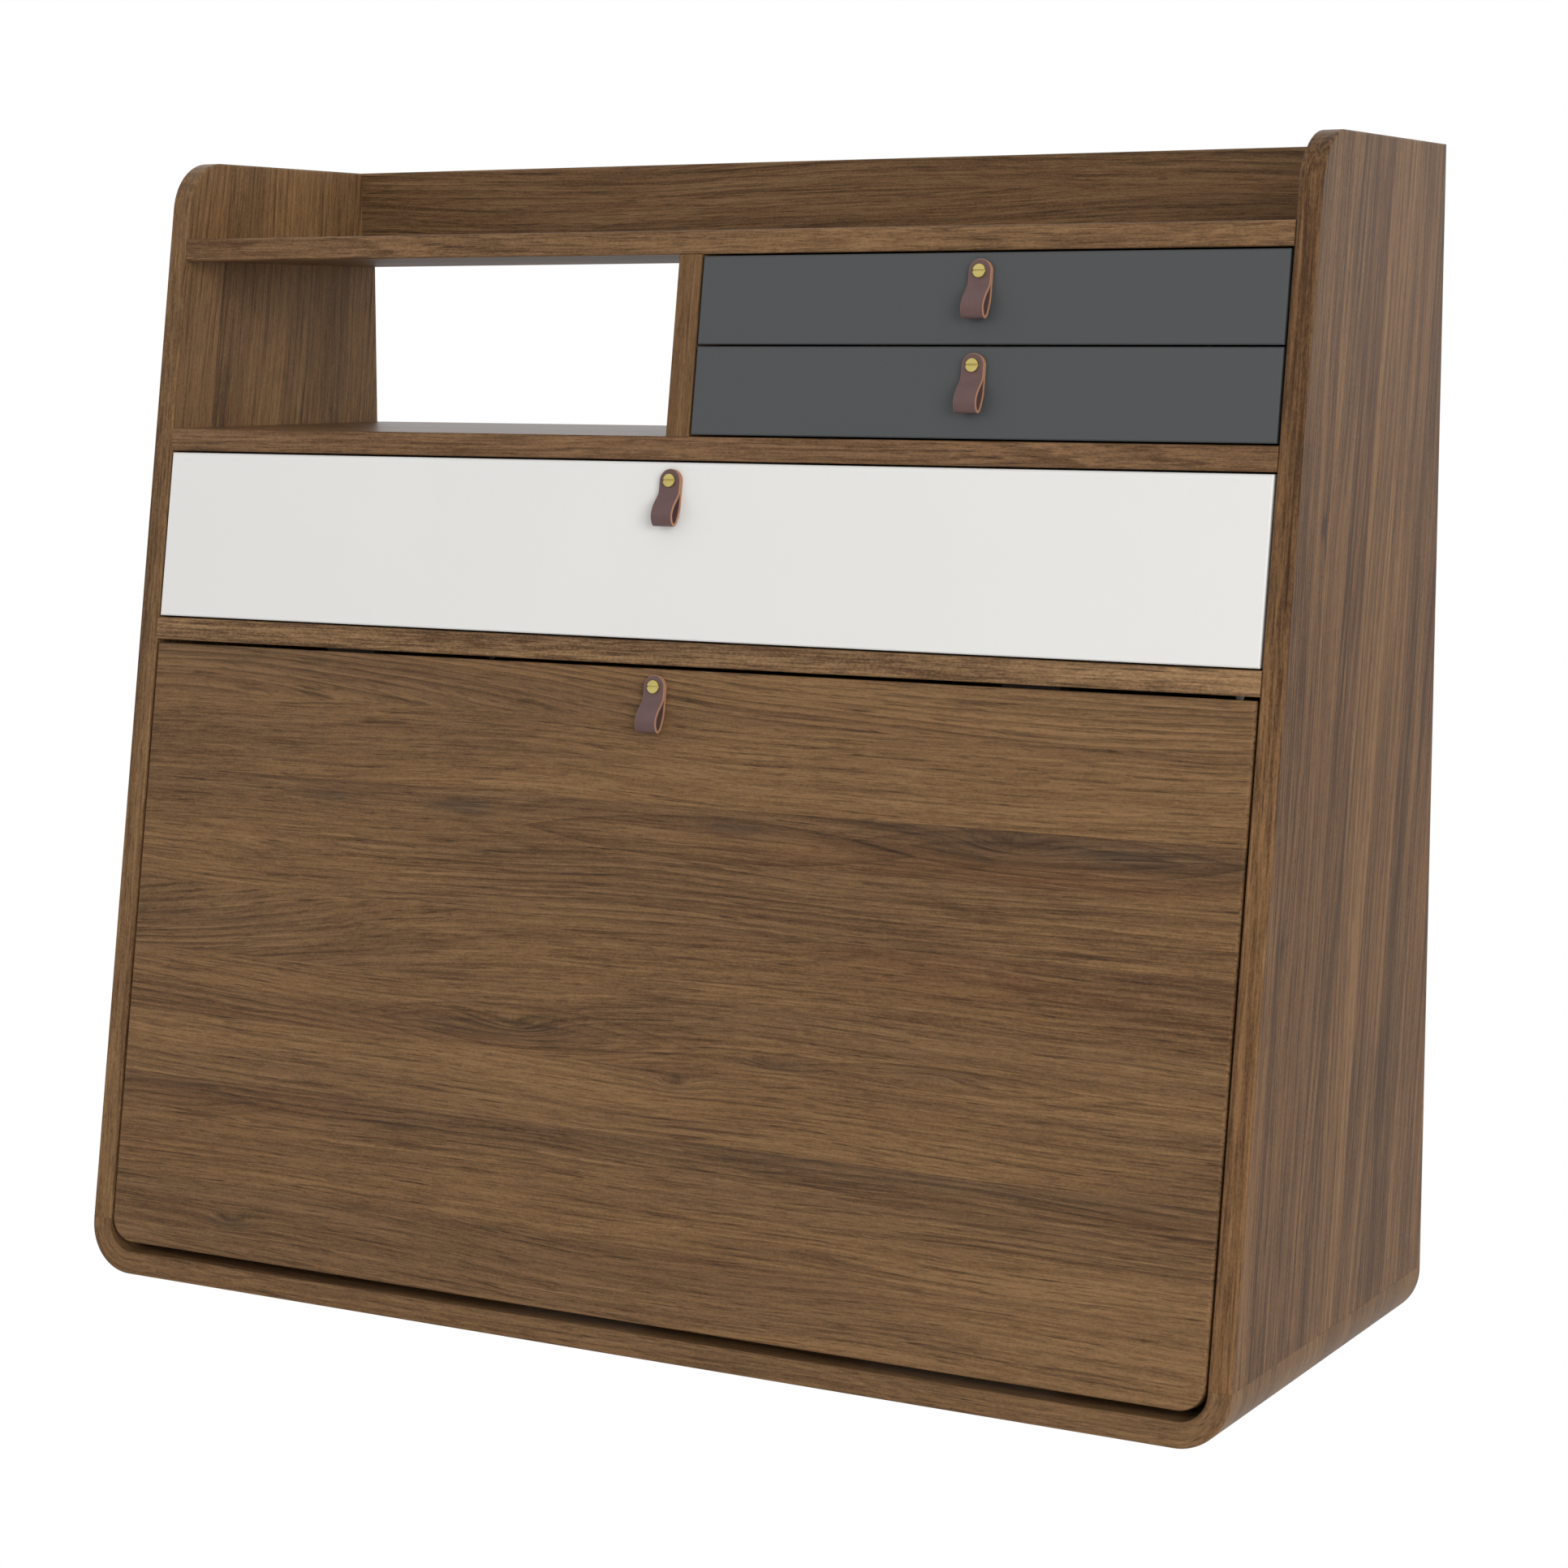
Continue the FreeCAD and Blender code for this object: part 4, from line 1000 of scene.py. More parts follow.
class Shades(Enum):
    """Every finish of the desk but plywood, which is made for each sheet."""

    FLAP = Walnut(
        "walnut_flap",
        Run.ACROSS,
        3.1,
        swirls=(
            Swirl(0.305, 0.110, 0.050, 0.010, 0.010),
            eye(0.330, 0.108, 0.190, 0.024, 3),
            eye(0.060, 0.100, 0.240, 0.034, 2),
            Swirl(-0.101, -0.053, 0.050, 0.010, 0.010),
            eye(-0.101, -0.055, 0.185, 0.026, 4),
            eye(0.262, -0.056, 0.160, 0.018, 2),
            Swirl(0.129, -0.060, 0.030, 0.005, 0.005),
            Swirl(0.255, -0.054, 0.030, 0.005, -0.005),
            Swirl(0.042, -0.081, 0.022, 0.006, 0.006),
            Swirl(-0.361, -0.231, 0.022, 0.006, 0.006),
            Swirl(-0.450, 0.210, 0.480, 0.060, -0.050),
            Swirl(-0.600, -0.005, 0.300, 0.060, 0.050),
            eye(-0.430, -0.136, 0.120, 0.018, 2),
            eye(0.280, -0.138, 0.250, 0.018, 2),
            stain(0.320, 0.113, 0.150, 0.013, 0.26),
            stain(0.440, 0.106, 0.070, 0.010, 0.22),
            stain(-0.165, 0.110, 0.030, 0.006, 0.95),
            stain(-0.298, 0.111, 0.030, 0.005, 0.60),
            stain(0.075, 0.109, 0.032, 0.005, 0.65),
            stain(0.392, 0.111, 0.024, 0.004, 0.70),
            stain(0.309, 0.110, 0.020, 0.005, -0.40),
            stain(-0.385, 0.008, 0.110, 0.008, 0.26),
            stain(-0.160, -0.056, 0.050, 0.010, 0.22),
            stain(0.120, -0.059, 0.040, 0.004, 0.35),
            stain(0.265, -0.054, 0.040, 0.004, 0.30),
            stain(0.240, -0.128, 0.200, 0.008, 0.25),
            stain(-0.360, -0.232, 0.016, 0.004, 0.35),
            stain(0.000, 0.1230, 3.000, 0.018, 0.26),
            stain(0.000, 0.1850, 3.000, 0.016, 0.12),
            stain(0.000, -0.1230, 3.000, 0.020, 0.34),
            stain(0.000, -0.2040, 3.000, 0.012, 0.20),
        ),
        staves=(
            Stave(-1.0000, 0.05),
            Stave(-0.2030, 0.13),
            Stave(-0.1720, 0.07),
            Stave(-0.1225, 0.16),
            Stave(-0.0720, 0.12),
            Stave(-0.0210, -0.08),
            Stave(0.0325, 0.06),
            Stave(0.0845, -0.04),
            Stave(0.1235, 0.06),
            Stave(0.1860, 0.30),
        ),
        lines=0.42,
    )
    LEFT_SIDE = Walnut(
        "walnut_left_side",
        Run.LEANING,
        11.7,
        staves=(Stave(0.050, -0.12), Stave(0.072, 0.12), Stave(0.1845, -0.06), Stave(0.2215, 0.16)),
        # painted light: this light tone is paler than the other boards' to brighten the panel's inner face,
        # which the lamps leave dim in the niche
        light="98754F",
        straight=1.2,
        coarse=1.4,
        stripes=0.8,
    )
    RIGHT_SIDE = Walnut(
        "walnut_right_side",
        Run.LEANING,
        5.3,
        swirls=(
            stain(0.340, 0.0515, 0.007, 0.0045, 1.6),
            Swirl(0.340, 0.0540, 0.050, 0.0070, 0.005),
            Swirl(0.052, 0.0325, 0.030, 0.0060, 0.005),
            stain(0.052, 0.0325, 0.008, 0.0045, 0.6),
            eye(0.020, 0.2165, 0.270, 0.0260, 5),
            eye(0.450, 0.2150, 0.130, 0.0200, 3),
            eye(-0.140, 0.2680, 0.290, 0.0240, 5),
            eye(0.330, 0.1240, 0.270, 0.0220, 3),
            stain(0.420, 0.2010, 0.160, 0.0040, 0.40),
            stain(0.060, 0.2550, 0.120, 0.0050, 0.35),
        ),
        staves=(
            Stave(0.0600, 0.03),
            Stave(0.1025, -0.20),
            Stave(0.1415, 0.22),
            Stave(0.1935, -0.05),
            Stave(0.2470, -0.12),
            Stave(0.2980, 0.04),
        ),
        light="886543",
        dark="493220",
        smoke="453327",
        straight=1.5,
        coarse=1.6,
        stripes=1.5,
        flames=0.14,
        lines=0.5,
    )
    BOTTOM = Walnut("walnut_bottom", Run.ROUND_THE_BEND, 8.9)
    TOP_SHELF = Walnut(
        "walnut_top_shelf", Run.LEVEL, 22.3, light="947250", lines=0.1, flames=0.05, roughness=0.37
    )
    MIDDLE_SHELF = Walnut(
        "walnut_middle_shelf", Run.LEVEL, 33.9, light="8F6D4E", lines=0.2, flames=0.06, roughness=0.27
    )
    LOWER_SHELF = Walnut("walnut_lower_shelf", Run.LEVEL, 46.1, light="AE8A63", lines=0.28)
    DIVIDER = Walnut("walnut_divider", Run.LEANING, 57.3, light="7E5F40")
    BACK_RAIL = Walnut("walnut_back_rail", Run.ACROSS, 64.7, light="8F6F4E")
    WALL_RAILS = Walnut("walnut_wall_rails", Run.ACROSS, 75.1)
    DESK_FLOOR = Walnut("walnut_desk_floor", Run.LEVEL, 83.3)
    BACKS = Walnut("walnut_backs", Run.ACROSS, 92.9)
    GREY = Lacquer("grey_lacquer", "4A4C4D", 0.42)
    WHITE = Lacquer("white_lacquer", "E9E8E5", 0.38)
    BEECH = Beech()
    LEATHER = Leather()
    BRASS = Metal("brass", "CDBD76", "BDAB60", 0.36, 0.1)
    STEEL = Metal("zinc_steel", "B9BBBD", "9B9DA0", 0.34)
    STAYS = Metal("dark_steel", "5A5753", "403E3B", 0.42)
    CATCH = CatchPlastic()


Finish = Walnut | Lacquer | Plywood | Beech | Leather | Metal | CatchPlastic


class Shop:
    """Makes each finish once and puts it on pieces."""

    def __init__(self) -> None:
        self.made: dict[str, bpy.types.Material] = {}

    def material(self, finish: Finish) -> bpy.types.Material:
        """The material of a finish, built the first time that it is asked for."""
        if finish.name not in self.made:
            self.made[finish.name] = finish.dress()
        return self.made[finish.name]

    def coat_node(self, name: str, finish: Finish) -> None:
        """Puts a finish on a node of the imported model.

        Args:
            name: The node's name.
            finish: The finish.
        """
        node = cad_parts[name]
        if not node.material_slots:
            node.data.materials.append(None)
        for place in node.material_slots:
            place.material = self.material(finish)
        LOG.info("%s is finished in %s", name, finish.name)

    def coat_piece(
        self,
        piece: bpy.types.Object,
        finish: Finish,
        slot: str,
        body: str,
        *replaced: str,
    ) -> None:
        """Puts a finish on a new piece and lets it ride on its body.

        Args:
            piece: The new piece.
            finish: Its finish.
            slot: The record's material slot; not used.
            body: The body that carries it.
            replaced: The nodes that it stands for.
        """
        piece.data.materials.append(self.material(finish))
        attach(piece, body)
        if replaced:
            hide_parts(*replaced)
        LOG.info("%s rides on %s with %d points", piece.name, body, len(piece.data.vertices))


    def add_board(self, name: str, board: Board, shade: Shades, body: str = "cabinet") -> None:
        """Makes a walnut board that stands for the node of the same name.

        Args:
            name: The node's name.
            board: The board.
            shade: Its finish.
            body: The body that carries it.
        """
        self.coat_piece(new_piece(name + "_board", *board.shell()), shade.value, "walnut", body, name)


# ---------------------------------------------------------------- the desk

# The axes of a section that is seen from the right: to the back, up, and out to the right.
FROM_THE_RIGHT = Axes((0.0, 0.0, 0.0), BACK, UP)


@dataclass
class Carcass:
    """The fixed boards of the desk: tapered sides, the bent bottom panel, shelves, backs and rails."""

    sizes: Sizes
    shop: Shop
    bend_steps: int = 20
    bevel_steps: int = 6
    side_corner: float = 0.4 * MM
    back_veneers: int = 5
    bearer_veneers: int = 21

    def side_panel(self, side: int) -> None:
        """Makes a side panel: its outline is the tapered side with a rounded top corner.

        Args:
            side: 1 for the right panel and -1 for the left.
        """
        s = self.sizes
        foot, head = s.joint_rise - DATUM, s.height - DATUM
        # seen from outside, the right panel's outline runs with +Y to the right and +Z up
        corners = [
            (0.0, foot, self.side_corner),
            (0.0, head, self.side_corner),
            (side * s.front(s.height), head, s.crown_round),
            (side * s.front(s.joint_rise), foot, self.side_corner),
        ]
        if side < 0:
            corners[1:] = corners[:0:-1]
        outline, radii = [corner[:2] for corner in corners], [corner[2] for corner in corners]
        arrises = [s.small_arris, s.arris, s.arris, s.small_arris]
        axes = Axes((side * s.inner_half, 0.0, 0.0), (0.0, float(side), 0.0), UP)
        board = Board(axes, outline, radii, 0.0, s.board, arrises, arrises, corner_steps=24, arris_steps=6)
        if side > 0:
            self.shop.add_board("right_side_panel", board, Shades.RIGHT_SIDE)
        else:
            self.shop.add_board("left_side_panel", board, Shades.LEFT_SIDE)

    def bent_path(self) -> tuple[np.ndarray, np.ndarray, np.ndarray]:
        """The middle line of the bottom panel, seen from the front, from its left end to its right end.

        It runs down, round a quarter circle, along, round another and up. Between corners it is straight.

        Returns:
            The places as X and rise, the outward normals there, and the length so far.
        """
        s = self.sizes
        half = s.width / 2 - s.board / 2
        radius = s.bend_radius - s.board / 2
        quarter = np.linspace(0, math.pi / 2, self.bend_steps)
        left = np.stack([-np.cos(quarter), -np.sin(quarter)], axis=1)
        right = np.stack([np.sin(quarter), -np.cos(quarter)], axis=1)
        low = s.board / 2 + radius
        start, end = np.array([[-half, s.joint_rise]]), np.array([[half, s.joint_rise]])
        places = np.vstack([
            start,
            left * radius + np.array([radius - half, low]),
            right * radius + np.array([half - radius, low]),
            end,
        ])
        normals = np.vstack([[[-1.0, 0.0]], left, right, [[1.0, 0.0]]])
        steps = np.linalg.norm(np.diff(places, axis=0), axis=1)
        return places, normals, np.concatenate([[0.0], np.cumsum(steps)])

    def bottom_section(self) -> tuple[np.ndarray, np.ndarray, np.ndarray]:
        """The bottom panel's section: how far behind the front, how far out of the middle, and its normals.

        Returns:
            The setback behind the leaning front, the offset through the board, and the normals as
            front-to-back and inside-to-outside parts. The last four points lie at the wall, where the
            setback says nothing.
        """
        s = self.sizes
        half = s.board / 2
        turn = np.linspace(0, math.pi / 2, self.bevel_steps)
        bevel = s.arris * (1 - np.cos(turn)) + s.front_margin
        arc = np.stack([bevel, half - s.arris * (1 - np.sin(turn))], axis=1)
        facing = np.stack([-np.cos(turn), np.sin(turn)], axis=1)
        inner = arc[::-1] * [1, -1]
        setback = np.concatenate([inner[:, 0], arc[:, 0], np.zeros(4)])
        small = s.small_arris
        offset = np.concatenate([inner[:, 1], arc[:, 1], [half, half - small, small - half, -half]])
        back = np.array([[0.0, 1.0], [1.0, 0.0], [1.0, 0.0], [0.0, -1.0]])
        return setback, offset, np.vstack([facing[::-1] * [1, -1], facing, back])

    def bottom_panel(self) -> None:
        """Makes the bottom panel: its section carried along the bent path, with the grain's own place."""
        s = self.sizes
        places, outwards, along = self.bent_path()
        setback, offset, normal = self.bottom_section()
        spot = places[:, None] + outwards[:, None] * offset[None, :, None]
        y = s.slope * spot[..., 1] - s.depth_foot + setback
        y[:, -4:] = [-s.small_arris, 0.0, 0.0, -s.small_arris]
        points = np.stack([spot[..., 0], y, spot[..., 1] - DATUM], axis=-1)
        level = outwards[:, None] * normal[None, :, 1:]
        facing = np.stack(np.broadcast_arrays(level[..., 0], normal[:, 0], level[..., 1]), axis=-1)
        piece = new_piece("bottom_panel_board", points.reshape(-1, 3), tube_faces(*y.shape))
        add_layer(piece, "grain", np.stack(np.broadcast_arrays(along[:, None], y, offset[None]), axis=-1))
        piece.data.normals_split_custom_set_from_vertices(unit(facing).reshape(-1, 3).tolist())
        self.shop.coat_piece(piece, Shades.BOTTOM.value, "walnut", "cabinet", "bottom_panel")

    def section(self, foot: float, head: float) -> list[tuple[float, float]]:
        """The section between two rises as Y and Z, from the front's foot and anticlockwise."""
        front = self.sizes.front
        low, high = foot - DATUM, head - DATUM
        return [(front(foot), low), (-TINY, low), (-TINY, high), (front(head), high)]

    def long_board(
        self, name: str, section: list[tuple[float, float]], radii: list[float], shade: Shades
    ) -> None:
        """Makes a board of one section from side panel to side panel.

        Args:
            name: The node that it stands for.
            section: The corners of its section as Y and Z, anticlockwise seen from the right.
            radii: The rounding at each corner.
            shade: Its finish.
        """
        half = self.sizes.inner_half
        square = [TINY] * len(section)
        board = Board(FROM_THE_RIGHT, section, radii, -half, half, square, square, 6, 2)
        self.shop.add_board(name, board, shade)

    def divider(self) -> None:
        """Makes the divider: an upright board whose front arrises are rounded."""
        s = self.sizes
        half = s.divider_board / 2
        outline = self.section(s.middle_shelf_top, s.top_shelf_foot)
        arris = [TINY, s.small_arris, TINY, s.arris]
        board = Board(FROM_THE_RIGHT, outline, [TINY] * 4, -half, half, arris, arris, 2, 6)
        self.shop.add_board("divider", board, Shades.DIVIDER)

    def boards_between(self) -> None:
        """Makes the shelves, whose front arrises are rounded, the back rail and the divider."""
        s = self.sizes
        for name, foot, shade in (
            ("top_shelf", s.top_shelf_foot, Shades.TOP_SHELF),
            ("middle_shelf", s.middle_shelf_top - s.board, Shades.MIDDLE_SHELF),
            ("lower_shelf", s.lower_shelf_foot, Shades.LOWER_SHELF),
        ):
            radii = [s.arris, s.small_arris, s.small_arris, s.arris]
            self.long_board(name, self.section(foot, foot + s.board), radii, shade)
        foot, head = s.top_shelf_foot + s.board - DATUM, s.height - DATUM
        rail = [(-s.board, foot), (-TINY, foot), (-TINY, head), (-s.board, head)]
        self.long_board("back_rail", rail, [TINY, TINY, s.small_arris, s.arris], Shades.BACK_RAIL)
        self.divider()

    def coat_boards(self) -> None:
        """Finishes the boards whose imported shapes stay."""
        for name, shade in (
            ("upper_wall_rail", Shades.WALL_RAILS),
            ("lower_wall_rail", Shades.WALL_RAILS),
            ("desk_floor", Shades.DESK_FLOOR),
            ("desk_back_panel", Shades.BACKS),
            ("carcass_tongues", Shades.BEECH),
            ("flap_bushes", Shades.STAYS),
            ("stay_studs", Shades.STAYS),
            ("flap_catches", Shades.CATCH),
        ):
            self.shop.coat_node(name, shade.value)
        for name, through, veneers in (
            ("small_drawer_back_panel", Through.Y, self.back_veneers),
            ("wide_drawer_back_panel", Through.Y, self.back_veneers),
            ("floor_bearers", Through.Z, self.bearer_veneers),
        ):
            self.shop.coat_node(name, Plywood.of_node(name, through, veneers))

    def build(self) -> None:
        """Makes and finishes every board of the carcass."""
        self.side_panel(-1)
        self.side_panel(1)
        self.bottom_panel()
        self.boards_between()
        self.coat_boards()


@dataclass
class Flap:
    """The fold down flap with its pivot pins, stay brackets and strike plates, and the two stays."""

    sizes: Sizes
    shop: Shop
    head_corner: float = 0.6 * MM
    bracket_gauge: float = 3 * MM
    screw_x: float = 460.5 * MM
    screw_lift: float = 13 * MM
    screw_radius: float = 3.4 * MM
    screw_head: float = 1.3 * MM

    @property
    def pivot(self) -> Axes:
        """Axes at the middle of the flap's pivot: across it, up it, and out of its front."""
        s = self.sizes
        y = s.front(s.hinge_rise) + s.flap_board / 2 * s.stretch
        return Axes((0.0, y, s.hinge_rise - DATUM), RIGHT, s.up_the_front)

    @property
    def foot_drop(self) -> float:
        """How far the flap's lower edge lies below its pivot, along the flap."""
        s = self.sizes
        return (s.hinge_rise - s.flap_foot_rise) * s.stretch + s.flap_board / 2 * s.slope

    def leaf(self) -> None:
        """Makes the flap's board, its lower corners rounded to follow the bent bottom panel."""
        s = self.sizes
        half = s.inner_half - s.flap_side_gap
        top = (s.flap_head_rise - s.flap_foot_rise) * s.stretch - self.foot_drop
        corner = s.bend_radius - s.board - s.flap_side_gap
        outline = [(-half, -self.foot_drop), (half, -self.foot_drop), (half, top), (-half, top)]
        radii = [corner, corner, self.head_corner, self.head_corner]
        thick = s.flap_board / 2
        arris = [s.flap_arris] * 4
        board = Board(self.pivot, outline, radii, -thick, thick, arris, arris, 16, 6)
        self.shop.add_board("flap", board, Shades.FLAP, "flap")

    def bracket_screws(self) -> None:
        """Makes the screws that hold the stay brackets' feet to the flap's inner face."""
        s = self.sizes
        spot = self.pivot
        inwards = Axes(spot.origin, (-1.0, 0.0, 0.0), spot.up)
        level = s.flap_board / 2 + self.bracket_gauge
        shells = []
        for side in (-1, 1):
            for lift in (-self.screw_lift, self.screw_lift):
                place = inwards.placed(np.array([side * self.screw_x, s.rivet_up + lift, level]))
                axes = Axes(tuple(place), inwards.across, inwards.up)
                head = disc(axes, self.screw_radius, 0.0, self.screw_head, self.screw_head * 0.8, 24)
                shells.append(head.shell())
        piece = new_piece("stay_bracket_screws", *joined(shells))
        self.shop.coat_piece(piece, Shades.STAYS.value, "steel", "flap")

    def build(self) -> None:
        """Makes the flap and finishes what it carries."""
        self.leaf()
        self.bracket_screws()
        self.shop.coat_node("strike_plates", Shades.STEEL.value)
        for name in ("flap_pivot_pins", "stay_brackets", "stay_rivets", "left_stay_bar", "right_stay_bar"):
            self.shop.coat_node(name, Shades.STAYS.value)


@dataclass
class Pull:
    """A leather strap folded into a loop and held to a front by a slotted brass screw.

    The strap's middle line is given as distance out of the front and distance down from its top.
    """

    sizes: Sizes
    shop: Shop
    name: str
    body: str
    x: float
    head_rise: float
    width: float = 18 * MM
    gauge: float = 2.15 * MM
    edge_round: float = 0.5 * MM
    seat_drop: float = 9 * MM
    span_steps: int = 24
    end_steps: int = 14
    middle_steps: int = 90
    width_steps: int = 19
    probe: float = 0.3 * MM
    seat_level: float = 4.4 * MM
    head_radius: float = 5 * MM
    head_gauge: float = 2 * MM
    head_round: float = 0.35 * MM
    half_slot: float = 0.6 * MM
    slot_level: float = 0.9 * MM
    shank_radius: float = 2 * MM
    shank_depth: float = 13.5 * MM
    line: np.ndarray = field(
        default_factory=lambda: np.array([
            (3.28, 0.0), (3.28, 5.0), (3.28, 10.0), (3.28, 14.5), (3.85, 18.9), (6.05, 22.6), (8.75, 26.2),
            (11.05, 30.3), (12.35, 34.4), (12.15, 38.1), (10.55, 41.5), (8.0, 42.9), (5.45, 41.3),
            (3.55, 37.6), (2.2, 33.6), (1.35, 29.4), (1.12, 25.0), (1.1, 19.0), (1.1, 12.0), (1.1, 6.0),
            (1.1, 0.0),
        ]) * MM
    )

    @property
    def seat(self) -> Axes:
        """Axes at the pull's screw, on the leaning front."""
        return self.sizes.on_front(self.x, self.head_rise - self.sizes.pull_drop)

    def stations(self, length: float) -> np.ndarray:
        """Lengths along the strap: close together at its round ends, evenly spaced between them."""
        half = self.width / 2
        end = half * (1 - np.cos(np.linspace(0, math.pi / 2, self.end_steps)))
        middle = np.linspace(half, length - half, self.middle_steps)[1:-1]
        return np.concatenate([end, middle, length - end[::-1]])

    def strap(self) -> None:
        """Makes the strap.

        Its half width near an end is that of a half circle. Its half thickness is
        gauge / 2 - r + sqrt(r^2 - (r - b)^2) at a distance b under r from the cut edge.
        """
        path = smooth_path(self.line, self.span_steps)
        run = np.concatenate([[0.0], np.cumsum(np.linalg.norm(np.diff(path, axis=0), axis=1))])
        at = self.stations(run[-1])
        behind, middle, ahead = (
            np.stack([np.interp(at + shift, run, path[:, column]) for column in (0, 1)], axis=1)
            for shift in (-self.probe, 0.0, self.probe)
        )
        along = unit(ahead - behind)
        outwards = np.stack([along[:, 1], -along[:, 0]], axis=1)
        half = self.width / 2
        from_end = np.minimum(at, run[-1] - at)
        short = np.maximum(half - from_end, 0.0)
        spread = np.sin(np.linspace(-math.pi / 2, math.pi / 2, self.width_steps))
        x = np.sqrt(np.maximum(half**2 - short**2, 0.0))[:, None] * spread
        inside = np.maximum(half - np.hypot(x, short[:, None]), 0.0)
        r = self.edge_round
        rise = np.sqrt(np.maximum(r**2 - (r - np.minimum(inside, r)) ** 2, 0.0))
        thick = self.gauge / 2 - r + rise
        cross = np.concatenate([x, x[:, ::-1]], axis=1)
        offset = np.concatenate([thick, -thick[:, ::-1]], axis=1)
        flat = middle[:, None] + outwards[:, None] * offset[..., None]
        points = np.stack([cross, self.seat_drop - flat[..., 1], flat[..., 0]], axis=-1)
        faces = ring_quads(*cross.shape)
        piece = new_piece(self.name + "_strap", self.seat.placed(points.reshape(-1, 3)), faces)
        bare = 1 - np.clip((inside - r / 2) / (r * 0.8), 0, 1)
        add_layer(piece, "cut", np.concatenate([bare, bare[:, ::-1]], axis=1))
        add_layer(piece, "inner", np.concatenate([np.zeros_like(bare), np.ones_like(bare)], axis=1))
        self.close_ends(piece)
        self.shop.coat_piece(piece, Shades.LEATHER.value, "leather", self.body, self.name)

    @staticmethod
    def close_ends(piece: bpy.types.Object) -> None:
        """Merges the points that meet at the strap's round ends and turns its faces outwards."""
        loose = bmesh.new()
        loose.from_mesh(piece.data)
        bmesh.ops.remove_doubles(loose, verts=loose.verts, dist=0.004 * MM)
        bmesh.ops.recalc_face_normals(loose, faces=loose.faces)
        loose.to_mesh(piece.data)
        loose.free()

    def screw(self) -> None:
        """Makes the brass screw: its shank, and a head of two half rounds with a level slot between them."""
        base, reach = self.seat_level, self.head_radius
        top = base + self.head_gauge
        low = disc(self.seat, reach - 0.15 * MM, base, base + self.slot_level, 0.2 * MM, 64)
        shank = disc(self.seat, self.shank_radius, -self.shank_depth, base + 0.2 * MM, TINY, 32)
        shells = [low.shell(), shank.shell()]
        start = math.asin(self.half_slot / reach)
        for turn in (0.0, math.pi):
            angle = np.linspace(start, math.pi - start, 40) + turn
            corners = np.stack([np.cos(angle), np.sin(angle)], axis=1) * reach
            small, soft = [TINY] * len(corners), [self.head_round] * len(corners)
            land = Board(self.seat, corners.tolist(), small, base, top, small, soft, corner_steps=2)
            shells.append(land.shell())
        piece = new_piece(self.name + "_slotted_screw", *joined(shells))
        self.shop.coat_piece(piece, Shades.BRASS.value, "brass", self.body, self.name + "_screw")

    def build(self) -> None:
        """Makes the strap and its screw."""
        self.strap()
        self.screw()


@dataclass
class Drawer:
    """A drawer: a lacquered front on a plywood box, with nested runners and a leather pull."""

    sizes: Sizes
    shop: Shop
    name: str
    x: float
    head_rise: float
    lacquer: Shades
    wall_veneers: int = 9
    base_veneers: int = 3

    def coat_box(self) -> None:
        """Finishes the box's plywood."""
        for part, through, veneers in (
            ("left_side", Through.X, self.wall_veneers),
            ("right_side", Through.X, self.wall_veneers),
            ("back", Through.Y, self.wall_veneers),
            ("base", Through.Z, self.base_veneers),
        ):
            node = "%s_%s" % (self.name, part)
            self.shop.coat_node(node, Plywood.of_node(node, through, veneers))

    def build(self) -> None:
        """Finishes the drawer and makes its pull."""
        self.shop.coat_node(self.name + "_front", self.lacquer.value)
        self.coat_box()
        for part in ("fixed_runners", "middle_runners", "moving_runners"):
            self.shop.coat_node("%s_%s" % (self.name, part), Shades.STEEL.value)
        Pull(self.sizes, self.shop, self.name + "_pull", self.name, self.x, self.head_rise).build()


# ---------------------------------------------------------------- studio


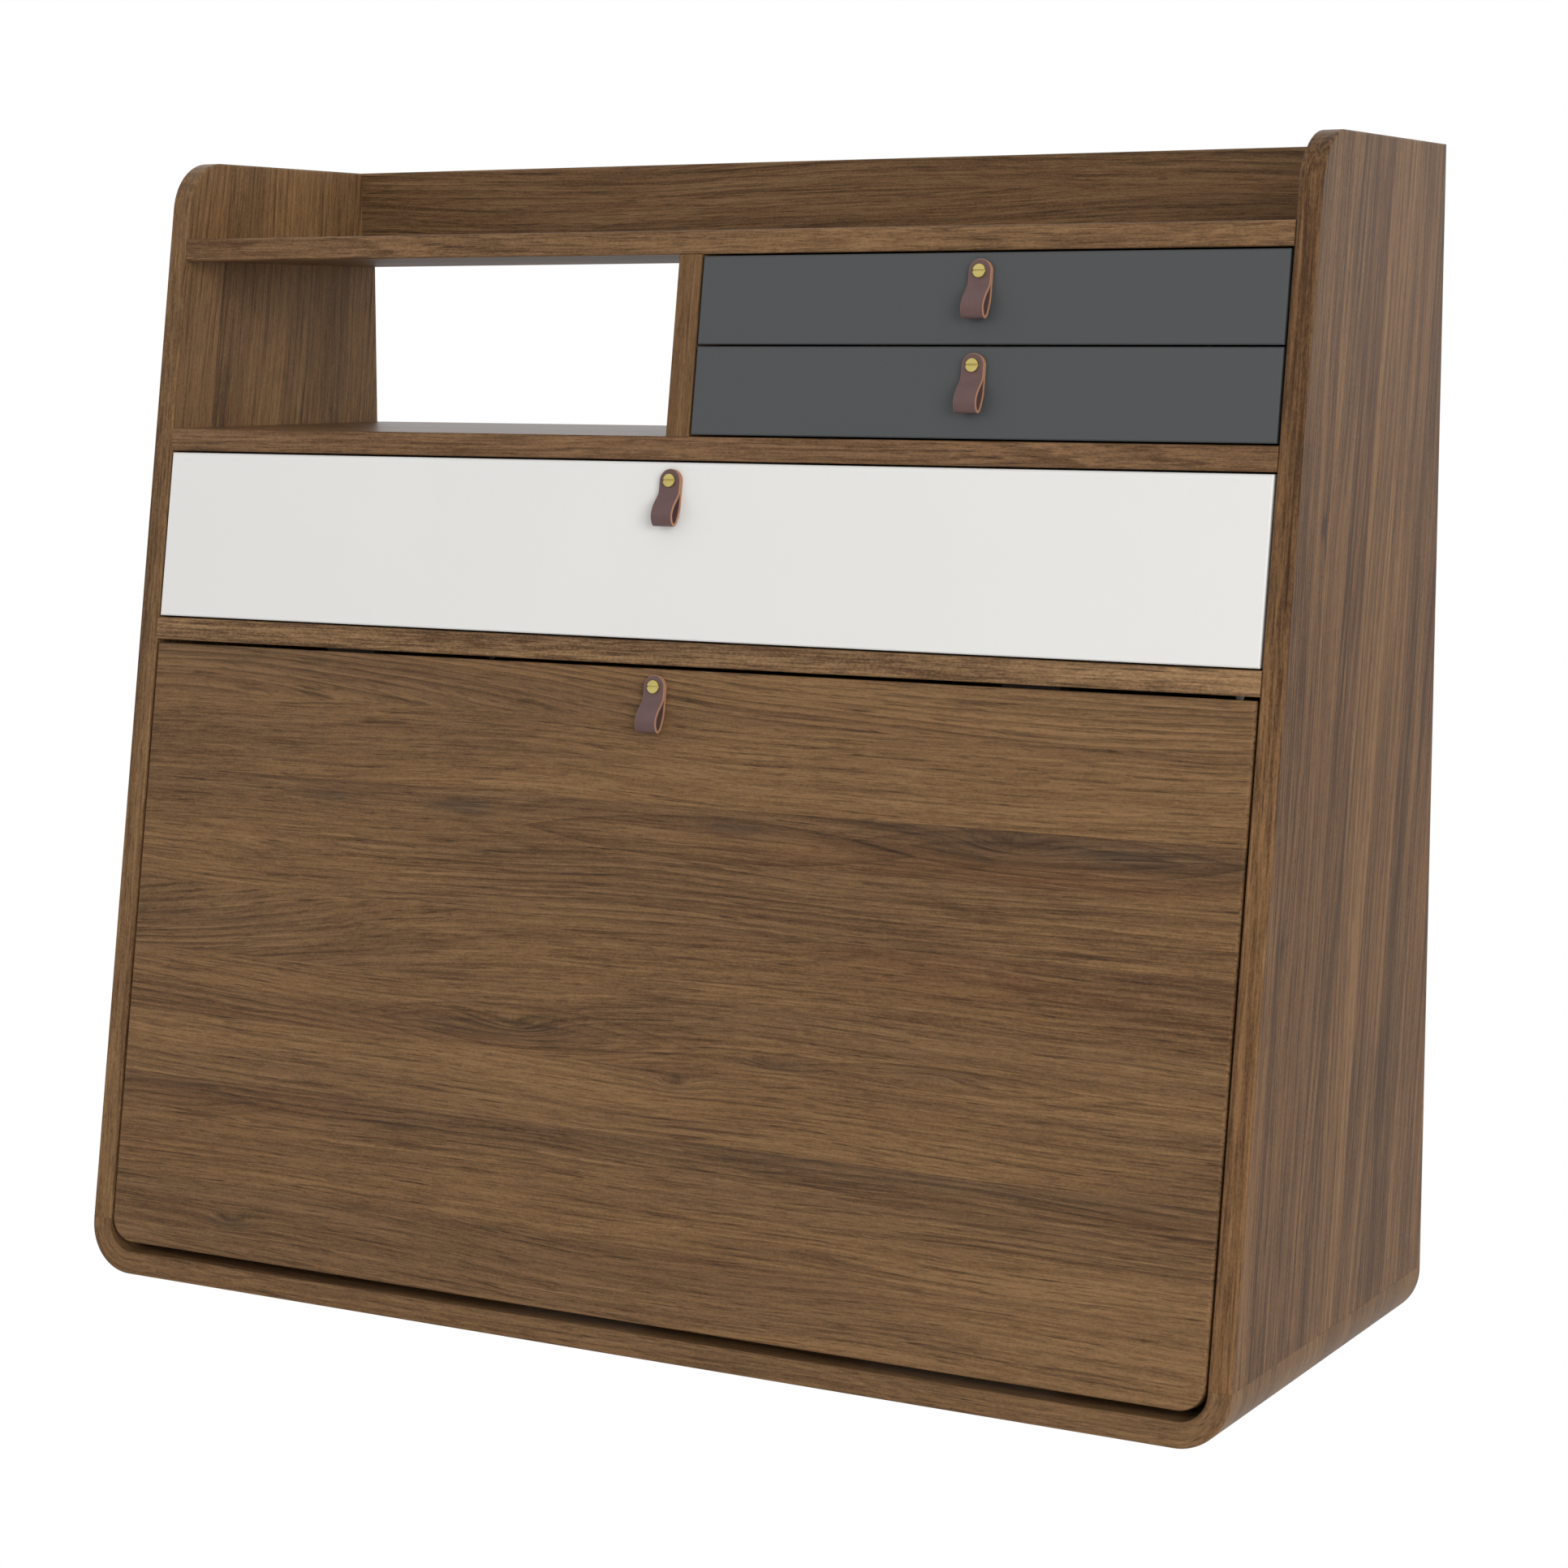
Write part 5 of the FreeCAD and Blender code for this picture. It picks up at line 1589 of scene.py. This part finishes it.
@dataclass
class Studio:
    """A plain white room: a pale floor under the desk, soft even light and the camera."""

    floor_height: float = -1.016
    floor_reach: float = 40.0
    daylight: float = 0.61
    camera_place: tuple[float, float, float] = (1.3618, -2.5386, 0.4694)
    camera_tilt: float = 82.725
    camera_turn: float = 29.365
    camera_lens: float = 79.949
    camera_sensor: float = 36.0
    far_clip: float = 200.0
    aim: tuple[float, float, float] = (0.0, -0.2, 0.15)

    def world(self) -> None:
        """Makes the sky: white to the eye and in reflections, and a little dimmer as a light."""
        r = Recipe("white_room", Target.WORLD)
        direct = r.node("ShaderNodeLightPath", {}, {}, "Is Camera Ray")
        mirrored = r.node("ShaderNodeLightPath", {}, {}, "Is Glossy Ray")
        seen = direct.maths("MAXIMUM", direct, mirrored)
        level = r.node("ShaderNodeMapRange", {}, {"Value": seen, "To Min": self.daylight, "To Max": 1.0})
        sky = r.node("ShaderNodeBackground", {}, {"Color": WHITE, "Strength": level})
        bpy.context.scene.world = r.finish(sky)

    def floor(self) -> None:
        """Makes the floor: it takes the desk's shadow below the desk and fades to plain white further off."""
        reach = self.floor_reach
        corners = np.array([(-reach, -reach), (reach, -reach), (reach, reach), (-reach, reach)])
        points = np.column_stack([corners, np.full(4, self.floor_height)])
        piece = new_piece("floor", points, [[0, 1, 2, 3]])
        r = Recipe("floor_white")
        x, y, _ = r.place()
        distance = (x * x + y * y) ** 0.5
        path = r.node("ShaderNodeLightPath", {}, {}, "Is Camera Ray")
        far = distance.above(0.5, 1.2)
        matt = r.node("ShaderNodeBsdfDiffuse", {}, {"Color": (0.86, 0.86, 0.86, 1.0)}, "BSDF")
        plain = r.node("ShaderNodeEmission", {}, {"Color": WHITE, "Strength": 1.0}, "Emission")
        share = path * (0.7 + 0.3 * far)
        mixed = r.node("ShaderNodeMixShader", {}, {0: share, 1: matt, 2: plain})
        piece.data.materials.append(r.finish(mixed))

    def lamp(self, name: str, place: tuple, size: float, power: float) -> None:
        """Adds a square soft lamp that faces the middle of the desk.

        Args:
            name: The lamp's name.
            place: Where it hangs.
            size: The length of its side.
            power: Its power in watts.
        """
        light = bpy.data.lights.new(name, "AREA")
        light.size = size
        light.energy = power
        lamp = bpy.data.objects.new(name, light)
        away = np.array(place) - np.array(self.aim)
        distance = float(np.linalg.norm(away))
        lamp.location = place
        lamp.rotation_euler = (math.acos(away[2] / distance), 0.0, math.atan2(away[1], away[0]) + math.pi / 2)
        lamp.visible_glossy = False
        bpy.context.scene.collection.objects.link(lamp)

    def camera(self) -> None:
        """Adds the camera."""
        data = bpy.data.cameras.new("camera")
        data.lens = self.camera_lens
        data.sensor_width = self.camera_sensor
        data.clip_end = self.far_clip
        camera = bpy.data.objects.new("camera", data)
        camera.location = self.camera_place
        camera.rotation_euler = (math.radians(self.camera_tilt), 0.0, math.radians(self.camera_turn))
        bpy.context.scene.collection.objects.link(camera)
        bpy.context.scene.camera = camera

    def build(self) -> None:
        """Sets up the room, the light and the camera."""
        self.world()
        self.floor()
        self.lamp("key_light", (5.9, -5.1, 1.9), size=3.6, power=310.0)
        self.lamp("fill_light", (-3.4, -3.2, 1.2), size=3.0, power=2.0)
        self.camera()
        bpy.context.scene.view_settings.view_transform = "Standard"


def main() -> None:
    """Builds the desk, sub-assembly by sub-assembly, and then the studio."""
    logging.basicConfig(level=logging.INFO, format="%(message)s")
    sizes, shop = Sizes(), Shop()
    Carcass(sizes, shop).build()
    Flap(sizes, shop).build()
    Pull(sizes, shop, "flap_pull", "flap", 0.0, sizes.flap_head_rise).build()
    small_x = (sizes.inner_half + sizes.divider_board / 2) / 2
    for name, head in (
        ("top_drawer", sizes.top_shelf_foot - sizes.front_gap),
        ("second_drawer", sizes.middle_shelf_top + (sizes.niche_opening - sizes.front_gap) / 2),
    ):
        Drawer(sizes, shop, name, small_x, head, Shades.GREY).build()
    head = sizes.middle_shelf_top - sizes.board - sizes.front_gap
    Drawer(sizes, shop, "wide_drawer", 0.0, head, Shades.WHITE).build()
    Studio().build()


if __name__ == "__main__":
    main()
